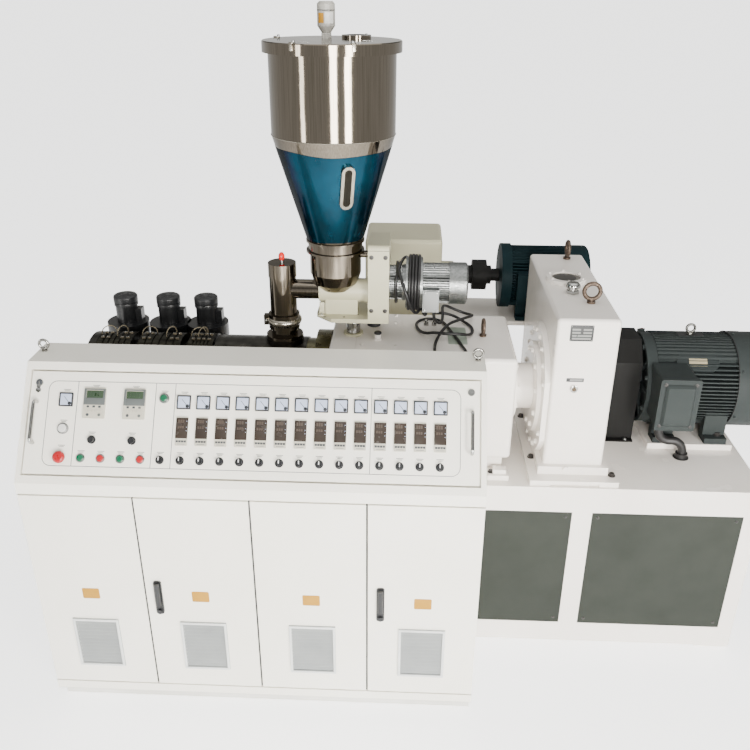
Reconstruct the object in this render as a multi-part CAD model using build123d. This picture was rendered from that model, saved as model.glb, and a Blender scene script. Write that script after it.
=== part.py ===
from build123d import *
from math import cos, hypot, pi, radians, sin, sqrt, tan
import os

# Plastic extruder: a conical twin screw machine with its control console in front.
# Millimetres. X runs along the machine from the die end to the main motor, Y runs from
# the console doors to the back, Z is up from the floor.
# Sizes are worked out first from the left front corner of the console on the floor. The
# last section moves everything so that the origin is under the middle of the machine.

# Control cabinet
cabinet_width = 1575
cabinet_depth = 410
cabinet_height = 1347
cabinet_sheet = 4
plinth_height = 90
plinth_recess = 60
plinth_wall = 6
sill_height = 40
door_height = 834
door_gap = 6
door_thickness = 20
door_skin = 3
door_edge_radius = 2
door_seat_clearance = 0.4
door_count = 4
header_height = 48
jamb_width = 32
mullion_width = 70
seat_depth = 30
slope_run = 249

# Louvred grilles in the doors
grille_width = 168
grille_height = 222
grille_bottom = 214
grille_border = 10
grille_proud = 4
grille_depth = 12
louvre_count = 12
louvre_thickness = 2
louvre_tilt = 35

# Swing handles of the doors
swing_handle_width = 28
swing_handle_height = 145
swing_handle_base = 474
swing_handle_inset = 45
swing_plate_thickness = 7
swing_lever_width = 18
swing_lever_height = 96
swing_lever_rise = 14
swing_lock_radius = 9
swing_lock_rise = 8

# Lifting eyes, one size on the cabinet and a larger one on the gearbox and the casing
cabinet_eye_radius = 16
cabinet_eye_wire = 5
cabinet_eye_inset_x = 24
cabinet_eye_inset_y = 72
gearbox_eye_radius = 30
gearbox_eye_wire = 8
casing_eye_radius = 26
casing_eye_wire = 7

# Sloping instrument panel, a door hinged along its lower edge
panel_inset_x = 24
panel_inset_low = 33
panel_inset_high = 34
panel_gap = 6
panel_thickness = 20
panel_skin = 3
panel_seat_width = 12
panel_seat_clearance = 0.4
panel_seat_thickness = 4

# Instruments: columns and rows are measured along the panel from its lower edge
column_count = 14
column_first = 530
column_pitch = 66.7
ammeter_size = 47
ammeter_row = 254
ammeter_bezel = 7
ammeter_glass_inset = 4
ammeter_glass_depth = 2
controller_width = 40
controller_height = 96
controller_row = 155
controller_bezel = 6
controller_screen_inset = 4
controller_screen_height = 52
selector_row = 57
selector_radius = 14
selector_ring_rise = 4
selector_knob_radius = 10
selector_knob_rise = 12
selector_bar_width = 7
selector_bar_rise = 8
left_column = 124
meter_column = 126
reset_row = 155
reset_radius = 16
reset_rise = 10
stop_radius = 20
stop_neck_radius = 13
stop_neck_rise = 12
stop_rise = 24
stop_dome = 8
button_first = 193
button_pitch = 67.5
button_count = 4
button_radius = 12
button_ring_radius = 15
button_rise = 7
keypad_width = 74
keypad_height = 104
keypad_rise = 9
keypad_first = 225
keypad_pitch = 137
keypad_row = 243
keypad_screen_height = 26
keypad_key_count = 5
keypad_key_radius = 5
keypad_key_rise = 3
pot_row = 119
pot_radius = 10
pot_rise = 16
pot_skirt_radius = 14
lamp_column = 462
lamp_row = 266
lamp_radius = 14
lamp_rise = 12
pull_handle_inset = 25
pull_handle_low = 104
pull_handle_length = 140
pull_handle_radius = 6
pull_handle_rise = 34
cam_lock_inset = 28
cam_lock_high = 40
cam_lock_radius = 12
cam_lock_rise = 5

# Base frame
base_length = 2677
base_start = 4
base_depth = 942
base_top = 787
foot_height = 25
foot_length = 138
foot_width = 120
foot_inset_y = 20
foot_rows = 3
base_edge_radius = 6
cover_count = 4
cover_width = 580
cover_pitch = 657
cover_low = 123
cover_high = 675
cover_end_margin = 63
cover_recess = 6
cover_thickness = 4
end_cover_margin = 120

# Screws, barrel and its heaters
axis_y = 735
axis_z = 1061
barrel_radius = 150
barrel_start = 40
barrel_end = 908
feed_section_start = 544
feed_section_radius = 180
die_flange_radius = 183
die_flange_thickness = 30
die_bolt_circle_radius = 140
die_bolt_hole_radius = 9
die_bolt_hole_depth = 24
die_bolt_count = 8
bore_radius = 34
bore_spacing = 44
bore_depth = 120
screw_core_tip_radius = 6
screw_core_radius = 18
screw_tip_reach = 26
heater_radius = 183
heater_starts = (72, 237, 436)
heater_ends = (208, 407, 536)
heater_groove_count = 5
heater_groove_width = 6
heater_groove_depth = 5
heater_band_margin = 14
drum_radius = 210
drum_end = 1005
drum_neck_radius = 175
drum_neck_length = 40
support_start = 209.5
support_thickness = 26
support_width = 240
support_foot_length = 130
support_foot_width = 320
support_foot_thickness = 16
support_clearance = 0.3

# Blowers behind the barrel
blower_centres = (93, 278, 441)
blower_offset_y = 270
blower_motor_radius = 46
blower_top = 1315
blower_cap_height = 26
blower_cap_rise = 3
volute_radius = 88
volute_top = 1200
volute_height = 58
duct_width = 60
duct_drop = 120
duct_clearance = 0.3
blower_box_width = 22
blower_box_depth = 44
blower_box_height = 60

# Distribution casing between the barrel and the tall gearbox
casing_start = 1005
casing_end = 1716
casing_half_width = 228
casing_half_height = 212
casing_radius = 16
casing_foot_width = 92
casing_foot_start_margin = 30
casing_foot_flange = 14
casing_foot_flange_reach = 8
casing_seams = (1106, 1279)
casing_seam_width = 4
casing_seam_depth = 3
casing_boss_x = 1190
casing_boss_y_offset = -57
casing_boss_radius = 17
casing_boss_rise = 8
casing_knob_radius = 13
casing_knob_rise = 30
casing_eye_x = 1602

# Neck between the casing and the tall gearbox
neck_radius = 92
neck_flange_radius = 128
neck_flange_thickness = 22

# Tall gearbox
gearbox_start = 1841
gearbox_width = 230
gearbox_front = 490
gearbox_depth = 790
gearbox_top = 1446
gearbox_radius = 14
gearbox_plate_thickness = 22
gearbox_plate_margin_x = 54
gearbox_plate_front = 420
gearbox_plate_back = 1346
gearbox_skirt_height = 34
gearbox_skirt_reach = 20
gearbox_slot_start = 1864
gearbox_slot_length = 188
gearbox_slot_height = 12
gearbox_slot_depth = 8
boss_rise = 20
boss_radius = 262
gear_flange_radius = 182
gear_flange_rise = 16
port_x_offset = 99
port_y_offset = 435
port_radius = 80
port_inner_radius = 58
port_rise = 16
breather_x_offset = 99
breather_y_offset = 281
breather_radius = 15
breather_rise = 34
sight_glass_radius = 14
sight_glass_rise = 6
sight_glass_height = 1172
sight_glass_x_offset = 85
drain_plug_radius = 11
drain_plug_rise = 10
drain_plug_height = 836
gearbox_eye_x_offset = 150
gearbox_eye_front_offset = 175
gearbox_eye_back_offset = 720

# Coupling guard and main motor
motor_axis_y = 930
motor_axis_z = 1022
guard_end = 2262
guard_half_width = 130
guard_shoulder = 1140
guard_top = 1218
guard_top_half_width = 62
guard_foot_reach = 26
guard_foot_thickness = 6
motor_start = 2277
shield_length = 44
shield_radius = 190
shield_hub_radius = 62
shield_rib_count = 8
shield_rib_width = 12
shield_dish_depth = 14
shield_rim = 16
housing_length = 316
housing_core_radius = 168
housing_fin_radius = 195
fin_pitch = 15.5
fin_thickness = 5
name_pad_length = 170
name_pad_width = 84
name_pad_radius = 189
name_pad_corner = 24
cowl_length = 154
cowl_radius = 199
cowl_sheet = 4
cowl_vent_rings = 4
cowl_vent_width = 9
cowl_vent_spokes = 6
cowl_spoke_width = 10
motor_plate_thickness = 25
motor_plate_start = 2309
motor_plate_length = 345
motor_plate_half_width = 206
motor_foot_length = 90
motor_foot_width = 70
motor_foot_thickness = 26
motor_foot_half_width = 200
motor_foot_margin = 8
motor_foot_web = 34
terminal_box_start = 2291
terminal_box_length = 146
terminal_box_front = 612
terminal_box_low = 940
terminal_box_height = 212
terminal_lid_thickness = 22
terminal_lid_reach = 5
terminal_box_radius = 10
hose_radius = 17
hose_top_x = 2322
hose_y = 662
hose_bottom_x = 2430
hose_gland_radius = 24
hose_gland_height = 22

# Hopper
hopper_x = 1025
hopper_radius = 221
hopper_wall = 3
hopper_cone_low = 1660
hopper_cone_low_radius = 106
hopper_cylinder_low = 2042
hopper_cylinder_high = 2330
hopper_lid_radius = 240
hopper_lid_thickness = 22
hopper_lid_lip = 30
hopper_lid_clearance = 0.5
weld_bead = 3
sight_window_angle = 19
sight_window_low = 1812
sight_window_high = 1968
sight_window_width = 46
sight_window_inner_width = 24
sight_window_thickness = 12
sight_window_sink = 2
inspection_radius = 52
inspection_rise = 10
inspection_hole_radius = 34
inspection_x_offset = 76
inspection_y_offset = 112
sensor_x_offset = -26
sensor_y_offset = 72
sensor_radius = 31
sensor_body_low = 2392
sensor_top = 2470
sensor_neck_half = 16
sensor_neck_rise = 18
sensor_cap_rise = 8

# Feeder under the hopper
clamp_ring_radius = 110
clamp_ring_low = 1612
clamp_ring_flange = 8
clamp_ring_body_radius = 102
bowl_radius = 97
bowl_straight_low = 1530
bowl_low = 1462
bowl_low_radius = 58
agitator_z = 1600
agitator_radius = 14
dosing_z = 1455
dosing_radius = 38
screw_housing_radius = 46
screw_housing_start = 961
feeder_plate_start = 951
feeder_plate_corner = 60
feeder_plate_top = 1366
feeder_plate_thickness = 16
feeder_plate_front = 650
feeder_plate_back = 862
pedestal_width = 70
pedestal_start = 985
pedestal_end = 1110
post_x = 1091
post_radius = 26
post_flange_radius = 38
post_flange_thickness = 8
chain_cover_start = 1152
chain_cover_width = 79
chain_cover_top = 1655
chain_cover_radius = 18
screw_flange_radius = 50
screw_flange_thickness = 12
feeder_axis_z = 1490
reducer_core_radius = 57
reducer_radius = 66
reducer_length = 62
reducer_flange_thickness = 12
reducer_flange_radius = 70
feeder_drum_radius = 98
feeder_drum_length = 64
feeder_motor_radius = 77
feeder_core_radius = 66
feeder_motor_length = 101
feeder_fin_pitch = 9
feeder_fin_thickness = 3
feeder_cowl_length = 70
feeder_cowl_radius = 80
feeder_box_start = 1358
feeder_box_length = 61
feeder_box_height = 87
feeder_box_low = 1411
feeder_box_front = 622

# The feeder's two loose cables: one is wound in a coil on the motor's drum
cable_radius = 6
cable_gland_radius = 13
cable_gland_height = 30
cable_gland_xs = (1406, 1524)
cable_gland_y = 458
box_gland_height = 12
box_gland_xs = (1374, 1403)
box_gland_y = 692
coil_radius = 111
coil_inner_clearance = 0.3
coil_end_clearance = 1
coil_turn_start = 1252
coil_turn_width = 14
coil_turn_radius = 82

# Vertical feed tube onto the barrel
drop_x = 818
drop_radius = 52
drop_low = 1258
drop_high = 1507
drop_cap_high = 1561
drop_cap_reach = 2
drop_flange_radius = 72
drop_flange_thickness = 12
drop_knob_radius = 12
drop_knob_height = 34
drop_knob_stem = 6
feed_pad_radius = 74
pipe_clamp_low = 1298
pipe_clamp_high = 1356
pipe_clamp_reach = 9
pipe_clamp_lug_reach = 18
pipe_clamp_lug_width = 26

# Vacuum pump set on a stand behind the machine
pump_start = 1105
pump_end = 1455
pump_front = 1330
pump_back = 1639
pump_top = 1482
pump_low = 1100
pump_radius = 18
pump_port_radius = 44
pump_port_rise = 26
pump_axis_y = 1480
pump_axis_z = 1277
pump_hub_radius = 62
pump_hub_length = 60
coupling_shaft_radius = 30
coupling_hub_radius = 44
coupling_disc_radius = 71
coupling_disc_start = 1604
coupling_disc_thickness = 67
coupling_disc_split = 9
coupling_end_clearance = 0.5
pump_motor_start = 1733
pump_flange_thickness = 46
pump_flange_radius = 150
pump_motor_core_radius = 122
pump_motor_fin_radius = 142
pump_motor_length = 264
pump_fin_pitch = 12
pump_fin_thickness = 4
pump_cowl_length = 94
pump_cowl_radius = 146
pump_foot_half_width = 140
pump_foot_width = 54
pump_foot_thickness = 20
pump_foot_length = 200
pump_foot_margin = 30
pump_box_start = 1800
pump_box_length = 90
pump_box_rise = 44
pump_box_height = 120
stand_plate_thickness = 20
stand_tube = 60
stand_leg_xs = (1135, 1610, 2080)
stand_rail_height = 150
stand_margin = 30

# Shared small values
overrun = 2
quarter_turn = 90
full_turn = 360

# Shares of the sizes that they follow
middle_share = 0.5
escutcheon_corner_share = 0.6
lever_edge_share = 0.33
eye_shank_share = 1.2
bend_share = 0.45
cowl_edge_share = 0.125
cowl_vent_share = 0.8
bowl_curve_shares = (0.86, 0.4)
coupling_hub_share = 0.33

# Levels and lengths that follow from the sizes above
door_low = plinth_height + sill_height
door_high = door_low + door_height
slope_low = door_high + header_height
slope_rise = cabinet_height - slope_low
slope_length = hypot(slope_run, slope_rise)
panel_width = cabinet_width - 2 * panel_inset_x
panel_height = slope_length - panel_inset_low - panel_inset_high
door_back = door_thickness + door_seat_clearance
door_pitch = (cabinet_width + door_gap) / door_count
door_width = door_pitch - door_gap
base_front = cabinet_depth
base_back = base_front + base_depth
base_end = base_start + base_length
gearbox_end = gearbox_start + gearbox_width
gearbox_back = gearbox_front + gearbox_depth
gearbox_low = base_top + gearbox_plate_thickness
casing_low = axis_z - casing_half_height
casing_top = axis_z + casing_half_height
housing_start = motor_start + shield_length
housing_end = housing_start + housing_length
motor_end = housing_end + cowl_length
chain_cover_end = chain_cover_start + chain_cover_width
drum_start = chain_cover_end + reducer_length
feeder_motor_start = drum_start + feeder_drum_length
feeder_motor_end = feeder_motor_start + feeder_motor_length
pump_motor_body = pump_motor_start + pump_flange_thickness
pump_motor_end = pump_motor_body + pump_motor_length
stand_end = pump_motor_end + pump_cowl_length

pieces = {}


def block(x_span, y_span, z_span):
    """A square block between two corners."""
    low = Vector(x_span[0], y_span[0], z_span[0])
    high = Vector(x_span[1], y_span[1], z_span[1])
    size = high - low
    return Pos((low + high) / 2) * Box(size.X, size.Y, size.Z)


def rod_x(y, z, radius, x_span):
    """A round bar along X."""
    place = Pos((x_span[0] + x_span[1]) / 2, y, z) * Rot(0, quarter_turn, 0)
    return place * Cylinder(radius, x_span[1] - x_span[0])


def rod_y(x, z, radius, y_span):
    """A round bar along Y."""
    place = Pos(x, (y_span[0] + y_span[1]) / 2, z) * Rot(quarter_turn, 0, 0)
    return place * Cylinder(radius, y_span[1] - y_span[0])


def rod_z(x, y, radius, z_span):
    """A round bar standing up."""
    return Pos(x, y, (z_span[0] + z_span[1]) / 2) * Cylinder(radius, z_span[1] - z_span[0])


def sheet_x(outline, x_span):
    """A shape drawn as Y and Z pairs and drawn out along X."""
    face = Plane.YZ * Polygon(*outline, align=None)
    return Pos(x_span[0], 0, 0) * extrude(face, x_span[1] - x_span[0], dir=(1, 0, 0))


def turned(profile_points, place):
    """A solid turned about its own Z axis from a list of radius and height pairs."""
    profile = Plane.XZ * Polygon(*profile_points, align=None)
    return place * revolve(profile, Axis.Z)


def upright_edges(shape):
    return shape.edges().filter_by(Axis.Z)


def keep(name, *solids):
    """Files one or more solids under the name of the piece that they make."""
    pieces.setdefault(name, []).extend(solids)


def lifting_eye(x, y, z, radius, wire, along_x=True):
    """A forged eye bolt with its collar, standing on a surface at height z."""
    collar = rod_z(x, y, wire * 2, (z, z + wire))
    shank = rod_z(x, y, wire * eye_shank_share, (z, z + wire * 2))
    turn = Rot(quarter_turn, 0, 0) if along_x else Rot(0, quarter_turn, 0)
    ring = Pos(x, y, z + wire * 2 + radius) * turn * Torus(radius, wire)
    return collar + shank + ring


# Cabinet sheet metal

def cabinet_side(x_low):
    """One end wall, cut to the stepped front, the slope and the top."""
    outline = [
        (0, plinth_height),
        (0, door_low - door_gap),
        (door_back, door_low - door_gap),
        (door_back, door_high + door_gap),
        (0, door_high + door_gap),
        (0, slope_low),
        (slope_run, cabinet_height),
        (cabinet_depth, cabinet_height),
        (cabinet_depth, plinth_height),
    ]
    return sheet_x(outline, (x_low, x_low + cabinet_sheet))


inner_x = (cabinet_sheet, cabinet_width - cabinet_sheet)
keep("cabinet_side_walls", cabinet_side(0), cabinet_side(cabinet_width - cabinet_sheet))

keep(
    "cabinet_back_wall",
    block(inner_x, (cabinet_depth - cabinet_sheet, cabinet_depth),
          (plinth_height, cabinet_height - cabinet_sheet)),
)

# The roof's front edge is cut to the slope.
roof_lap = cabinet_sheet * slope_run / slope_rise
roof_outline = [
    (slope_run - roof_lap, cabinet_height - cabinet_sheet),
    (slope_run, cabinet_height),
    (cabinet_depth, cabinet_height),
    (cabinet_depth, cabinet_height - cabinet_sheet),
]
keep("cabinet_roof", sheet_x(roof_outline, inner_x))

# The front frame is the header band, the sill and a flat seat frame behind the doors.
header = block(inner_x, (0, door_back), (door_high + door_gap, slope_low))
sill = block(inner_x, (0, door_back), (plinth_height, door_low - door_gap))
seat_y = (door_back, door_back + cabinet_sheet)
seat = block(inner_x, seat_y, (plinth_height, slope_low))
for bay in range(2):
    bay_start = jamb_width if bay == 0 else (cabinet_width + mullion_width) / 2
    bay_end = (cabinet_width - mullion_width) / 2 if bay == 0 else cabinet_width - jamb_width
    seat -= block((bay_start, bay_end), (seat_y[0] - overrun, seat_y[1] + overrun),
                  (door_low + seat_depth, door_high - seat_depth))
keep("cabinet_front_frame", header + sill + seat)

plinth = block((0, cabinet_width), (plinth_recess, cabinet_depth), (0, plinth_height))
plinth -= block((plinth_wall, cabinet_width - plinth_wall),
                (plinth_recess + plinth_wall, cabinet_depth - plinth_wall),
                (-overrun, plinth_height - cabinet_sheet))
plinth += block((0, cabinet_width), (0, cabinet_depth),
                (plinth_height - cabinet_sheet, plinth_height))
keep("cabinet_plinth", plinth)

for x in (cabinet_eye_inset_x, cabinet_width - cabinet_eye_inset_x):
    keep("lifting_eyes",
         lifting_eye(x, cabinet_depth - cabinet_eye_inset_y, cabinet_height,
                     cabinet_eye_radius, cabinet_eye_wire))

# Sloping console: the panel's own frame has X along the machine, Y up the slope and Z out
# of the face. Its origin is the lower front edge of the slope.
slope_cos = slope_run / slope_length
slope_sin = slope_rise / slope_length
slope_plane = Plane(origin=(0, 0, slope_low), x_dir=(1, 0, 0), z_dir=(0, -slope_sin, slope_cos))
on_slope = slope_plane.location
panel_origin = slope_plane.location * Pos(panel_inset_x, panel_inset_low, 0)

panel_back = panel_thickness + panel_seat_clearance
frame_depth = panel_back + panel_seat_thickness
console_frame = block(inner_x, (0, slope_length), (-frame_depth, 0))
console_frame -= block(
    (panel_inset_x - panel_gap, cabinet_width - panel_inset_x + panel_gap),
    (panel_inset_low - panel_gap, panel_inset_low + panel_height + panel_gap),
    (-panel_back, overrun),
)
console_frame -= block(
    (panel_inset_x + panel_seat_width, cabinet_width - panel_inset_x - panel_seat_width),
    (panel_inset_low + panel_seat_width, panel_inset_low + panel_height - panel_seat_width),
    (-frame_depth - overrun, overrun),
)
console_room = block(inner_x, (0, cabinet_depth), (slope_low, cabinet_height - cabinet_sheet))
keep("console_frame", (on_slope * console_frame) & console_room)


# Doors, their louvred grilles and swing handles

def door_span(index):
    start = index * door_pitch
    return (start, start + door_width)


def grille_span(index):
    start, end = door_span(index)
    middle = (start + end) / 2
    return (middle - grille_width / 2, middle + grille_width / 2)


def door(index):
    """A folded pan door with a cut-out behind its grille."""
    x_span = door_span(index)
    leaf = block(x_span, (0, door_thickness), (door_low, door_high))
    leaf = fillet(leaf.edges().filter_by(Axis.Z).sort_by(Axis.Y)[:2], door_edge_radius)
    leaf -= block((x_span[0] + door_skin, x_span[1] - door_skin),
                  (door_skin, door_thickness + overrun),
                  (door_low + door_skin, door_high - door_skin))
    window = grille_span(index)
    leaf -= block((window[0] + grille_border, window[1] - grille_border),
                  (-overrun, door_thickness),
                  (grille_bottom + grille_border,
                   grille_bottom + grille_height - grille_border))
    return leaf


def grille(index):
    """A frame over the cut-out with slanting louvres across it."""
    x_span = grille_span(index)
    inner = (x_span[0] + grille_border, x_span[1] - grille_border)
    low = grille_bottom + grille_border
    high = grille_bottom + grille_height - grille_border
    frame = block(x_span, (-grille_proud, 0), (grille_bottom, grille_bottom + grille_height))
    frame -= block(inner, (-grille_proud - overrun, overrun), (low, high))
    pitch = (high - low) / louvre_count
    for step in range(louvre_count):
        blade = Box(inner[1] - inner[0], grille_depth, louvre_thickness)
        place = Pos((inner[0] + inner[1]) / 2, 0, low + pitch * (step + middle_share))
        frame += place * Rot(louvre_tilt, 0, 0) * blade
    return frame


def swing_handle(index):
    """A flat escutcheon, a raised lever and the round lock under it."""
    x = door_span(index)[0] + swing_handle_inset
    half = swing_handle_width / 2
    z_span = (swing_handle_base, swing_handle_base + swing_handle_height)
    plate = block((x - half, x + half), (-swing_plate_thickness, 0), z_span)
    plate = fillet(plate.edges().filter_by(Axis.Y), half * escutcheon_corner_share)
    lever_top = z_span[1] - (half - swing_lever_width / 2)
    lever = block((x - swing_lever_width / 2, x + swing_lever_width / 2),
                  (-swing_plate_thickness - swing_lever_rise, -swing_plate_thickness),
                  (lever_top - swing_lever_height, lever_top))
    lever = fillet(lever.edges().filter_by(Axis.Z).sort_by(Axis.Y)[:2],
                   swing_lever_width * lever_edge_share)
    lock = rod_y(x, z_span[0] + half, swing_lock_radius,
                 (-swing_plate_thickness - swing_lock_rise, -swing_plate_thickness))
    return plate + lever + lock


for number in range(door_count):
    keep(f"door_{number + 1}", door(number))
    keep(f"vent_grille_{number + 1}", grille(number))
for number in (1, 3):
    keep(f"door_handle_{number + 1}", swing_handle(number))


# Instrument panel and what it carries, all drawn in the panel's own frame

def on_panel(shape):
    return panel_origin * shape


panel = block((0, panel_width), (0, panel_height), (-panel_thickness, 0))
panel -= block((panel_skin, panel_width - panel_skin), (panel_skin, panel_height - panel_skin),
               (-panel_thickness - overrun, -panel_skin))
keep("instrument_panel", on_panel(panel))


def upright_box(x, y, width, height, rise, edge):
    """A box standing on the panel with its outer edges eased."""
    body = block((x - width / 2, x + width / 2), (y - height / 2, y + height / 2), (0, rise))
    return fillet(body.edges().filter_by(Axis.Z), edge)


def ammeter(x, y):
    case = upright_box(x, y, ammeter_size, ammeter_size, ammeter_bezel, ammeter_glass_inset / 2)
    half = ammeter_size / 2 - ammeter_glass_inset
    return case - block((x - half, x + half), (y - half, y + half),
                        (ammeter_bezel - ammeter_glass_depth, ammeter_bezel + overrun))


def controller(x, y):
    case = upright_box(x, y, controller_width, controller_height, controller_bezel,
                       controller_screen_inset / 2)
    half = controller_width / 2 - controller_screen_inset
    top = y + controller_height / 2 - controller_screen_inset
    return case - block((x - half, x + half), (top - controller_screen_height, top),
                        (controller_bezel - ammeter_glass_depth, controller_bezel + overrun))


def selector(x, y):
    ring = rod_z(x, y, selector_radius, (0, selector_ring_rise))
    knob = rod_z(x, y, selector_knob_radius, (0, selector_knob_rise))
    bar = block((x - selector_bar_width / 2, x + selector_bar_width / 2),
                (y - selector_knob_radius, y + selector_knob_radius),
                (0, selector_knob_rise + selector_bar_rise))
    return ring + knob + bar


def push_button(x, y, radius, rise):
    ring = rod_z(x, y, radius + (button_ring_radius - button_radius), (0, rise / 2))
    return ring + rod_z(x, y, radius, (0, rise))


def stop_button(x, y):
    """A mushroom head on its neck."""
    neck = rod_z(x, y, stop_neck_radius, (0, stop_neck_rise))
    head = rod_z(x, y, stop_radius, (stop_neck_rise, stop_rise))
    return neck + fillet(head.edges().sort_by(Axis.Z)[-1], stop_dome)


def keypad(x, y):
    case = upright_box(x, y, keypad_width, keypad_height, keypad_rise, ammeter_glass_inset)
    top = y + keypad_height / 2 - controller_screen_inset * 2
    half = keypad_width / 2 - controller_screen_inset * 2
    case -= block((x - half, x + half), (top - keypad_screen_height, top),
                  (keypad_rise - ammeter_glass_depth, keypad_rise + overrun))
    for key in range(keypad_key_count):
        offset = (key - (keypad_key_count - 1) / 2) * (2 * half / keypad_key_count)
        case += rod_z(x + offset, y - keypad_height / 4, keypad_key_radius,
                      (0, keypad_rise + keypad_key_rise))
    return case


def pull_handle(x):
    """A bent round bar with both ends square to the panel."""
    low = pull_handle_low
    high = pull_handle_low + pull_handle_length
    rise = pull_handle_rise - pull_handle_radius
    path = FilletPolyline((x, low, 0), (x, low, rise), (x, high, rise), (x, high, 0),
                          radius=pull_handle_radius * 2)
    return sweep(Plane(path @ 0, z_dir=path % 0) * Circle(pull_handle_radius), path)


keep("panel_meters", on_panel(ammeter(meter_column, ammeter_row)))
for step in range(column_count):
    x = column_first + step * column_pitch
    keep("panel_meters", on_panel(ammeter(x, ammeter_row)))
    keep("temperature_controllers", on_panel(controller(x, controller_row)))
    keep("selector_knobs", on_panel(selector(x, selector_row)))
keep("selector_knobs", on_panel(selector(lamp_column, selector_row)))
keep("push_buttons", on_panel(push_button(left_column, reset_row, reset_radius, reset_rise)))
keep("push_buttons", on_panel(stop_button(left_column, selector_row)))
keep("push_buttons", on_panel(push_button(lamp_column, lamp_row, lamp_radius, lamp_rise)))
for step in range(button_count):
    x = button_first + step * button_pitch
    keep("push_buttons", on_panel(push_button(x, selector_row, button_radius, button_rise)))
for step in range(2):
    x = keypad_first + step * keypad_pitch
    keep("inverter_keypads", on_panel(keypad(x, keypad_row)))
    pot = rod_z(x, pot_row, pot_skirt_radius, (0, selector_ring_rise))
    pot += rod_z(x, pot_row, pot_radius, (0, pot_rise))
    keep("selector_knobs", on_panel(pot))
for x in (pull_handle_inset, panel_width - pull_handle_inset):
    keep("panel_handles", on_panel(pull_handle(x)))
for x in (cam_lock_inset, panel_width - cam_lock_inset):
    lock = rod_z(x, panel_height - cam_lock_high, cam_lock_radius, (0, cam_lock_rise))
    keep("panel_handles", on_panel(lock))

# Base frame with recesses for its screwed cover panels
base = block((base_start, base_end), (base_front, base_back), (foot_height, base_top))
base = fillet(upright_edges(base), base_edge_radius)
cover_spans = []
for step in range(cover_count):
    end = base_end - cover_end_margin - step * cover_pitch
    cover_spans.append((end - cover_width, end))
cover_z = (cover_low, cover_high)
covers = []
for x_span in cover_spans:
    front = (base_front, base_front + cover_recess)
    back = (base_back - cover_recess, base_back)
    base -= block(x_span, (front[0] - overrun, front[1]), cover_z)
    base -= block(x_span, (back[0], back[1] + overrun), cover_z)
    covers.append(block(x_span, (front[1] - cover_thickness, front[1]), cover_z))
    covers.append(block(x_span, (back[0], back[0] + cover_thickness), cover_z))
end_y = (base_front + end_cover_margin, base_back - end_cover_margin)
base -= block((base_start - overrun, base_start + cover_recess), end_y, cover_z)
base -= block((base_end - cover_recess, base_end + overrun), end_y, cover_z)
covers.append(block((base_start + cover_recess - cover_thickness, base_start + cover_recess),
                    end_y, cover_z))
covers.append(block((base_end - cover_recess, base_end - cover_recess + cover_thickness),
                    end_y, cover_z))
foot_span = base_length - foot_length
for step in range(foot_rows):
    x = base_start + foot_span * step / (foot_rows - 1)
    for y in (base_front + foot_inset_y, base_back - foot_inset_y - foot_width):
        base += block((x, x + foot_length), (y, y + foot_width), (0, foot_height))
for gland_x in cable_gland_xs:
    base += rod_z(gland_x, cable_gland_y, cable_gland_radius,
                  (base_top, base_top + cable_gland_height))
keep("base_frame", base)
keep("base_side_panels", *covers)


# Barrel, heaters and blowers

def bore_pair(radius, x_span, clearance=0):
    """Two round bars side by side, the shape of the barrel's figure of eight bore."""
    low = rod_x(axis_y - bore_spacing / 2, axis_z, radius + clearance, x_span)
    return low + rod_x(axis_y + bore_spacing / 2, axis_z, radius + clearance, x_span)


barrel = rod_x(axis_y, axis_z, barrel_radius, (barrel_start, barrel_end))
barrel += rod_x(axis_y, axis_z, feed_section_radius, (feed_section_start, barrel_end))
barrel += rod_x(axis_y, axis_z, die_flange_radius,
                (barrel_start, barrel_start + die_flange_thickness))
barrel += rod_z(drop_x, axis_y, feed_pad_radius, (axis_z, drop_low))
barrel -= bore_pair(bore_radius, (barrel_start - overrun, barrel_start + bore_depth))
for step in range(die_bolt_count):
    angle = 2 * pi * (step + middle_share) / die_bolt_count
    barrel -= rod_x(axis_y + die_bolt_circle_radius * cos(angle),
                    axis_z + die_bolt_circle_radius * sin(angle), die_bolt_hole_radius,
                    (barrel_start - overrun, barrel_start + die_bolt_hole_depth))
keep("barrel", barrel)


def screw_tip(side):
    """The cone at the end of one screw, standing out of the bore."""
    y = axis_y + side * bore_spacing / 2
    length = bore_depth + screw_tip_reach
    cone = Cone(screw_core_radius, screw_core_tip_radius, length)
    middle = barrel_start + bore_depth - length / 2
    return Pos(middle, y, axis_z) * Rot(0, -quarter_turn, 0) * cone


keep("barrel_screws", screw_tip(-1), screw_tip(1))

for start, end in zip(heater_starts, heater_ends):
    shell = rod_x(axis_y, axis_z, heater_radius, (start, end))
    span = end - start - 2 * heater_band_margin
    for step in range(heater_groove_count):
        middle = start + heater_band_margin + span * (step + middle_share) / heater_groove_count
        groove = (middle - heater_groove_width / 2, middle + heater_groove_width / 2)
        shell -= (rod_x(axis_y, axis_z, heater_radius + overrun, groove)
                  - rod_x(axis_y, axis_z, heater_radius - heater_groove_depth, groove))
    shell -= rod_x(axis_y, axis_z, barrel_radius, (start - overrun, end + overrun))
    keep("barrel_heaters", shell)

drum = rod_x(axis_y, axis_z, drum_radius, (barrel_end + drum_neck_length, drum_end))
drum += rod_x(axis_y, axis_z, drum_neck_radius, (barrel_end, drum_end))
keep("barrel_flange", drum)

support = block((support_start, support_start + support_thickness),
                (axis_y - support_width / 2, axis_y + support_width / 2), (base_top, axis_z))
support -= rod_x(axis_y, axis_z, barrel_radius + support_clearance,
                 (support_start - overrun, support_start + support_thickness + overrun))
support_middle = support_start + support_thickness / 2
support += block((support_middle - support_foot_length / 2,
                  support_middle + support_foot_length / 2),
                 (axis_y - support_foot_width / 2, axis_y + support_foot_width / 2),
                 (base_top, base_top + support_foot_thickness))
keep("barrel_support", support)

blower_y = axis_y + blower_offset_y


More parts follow.
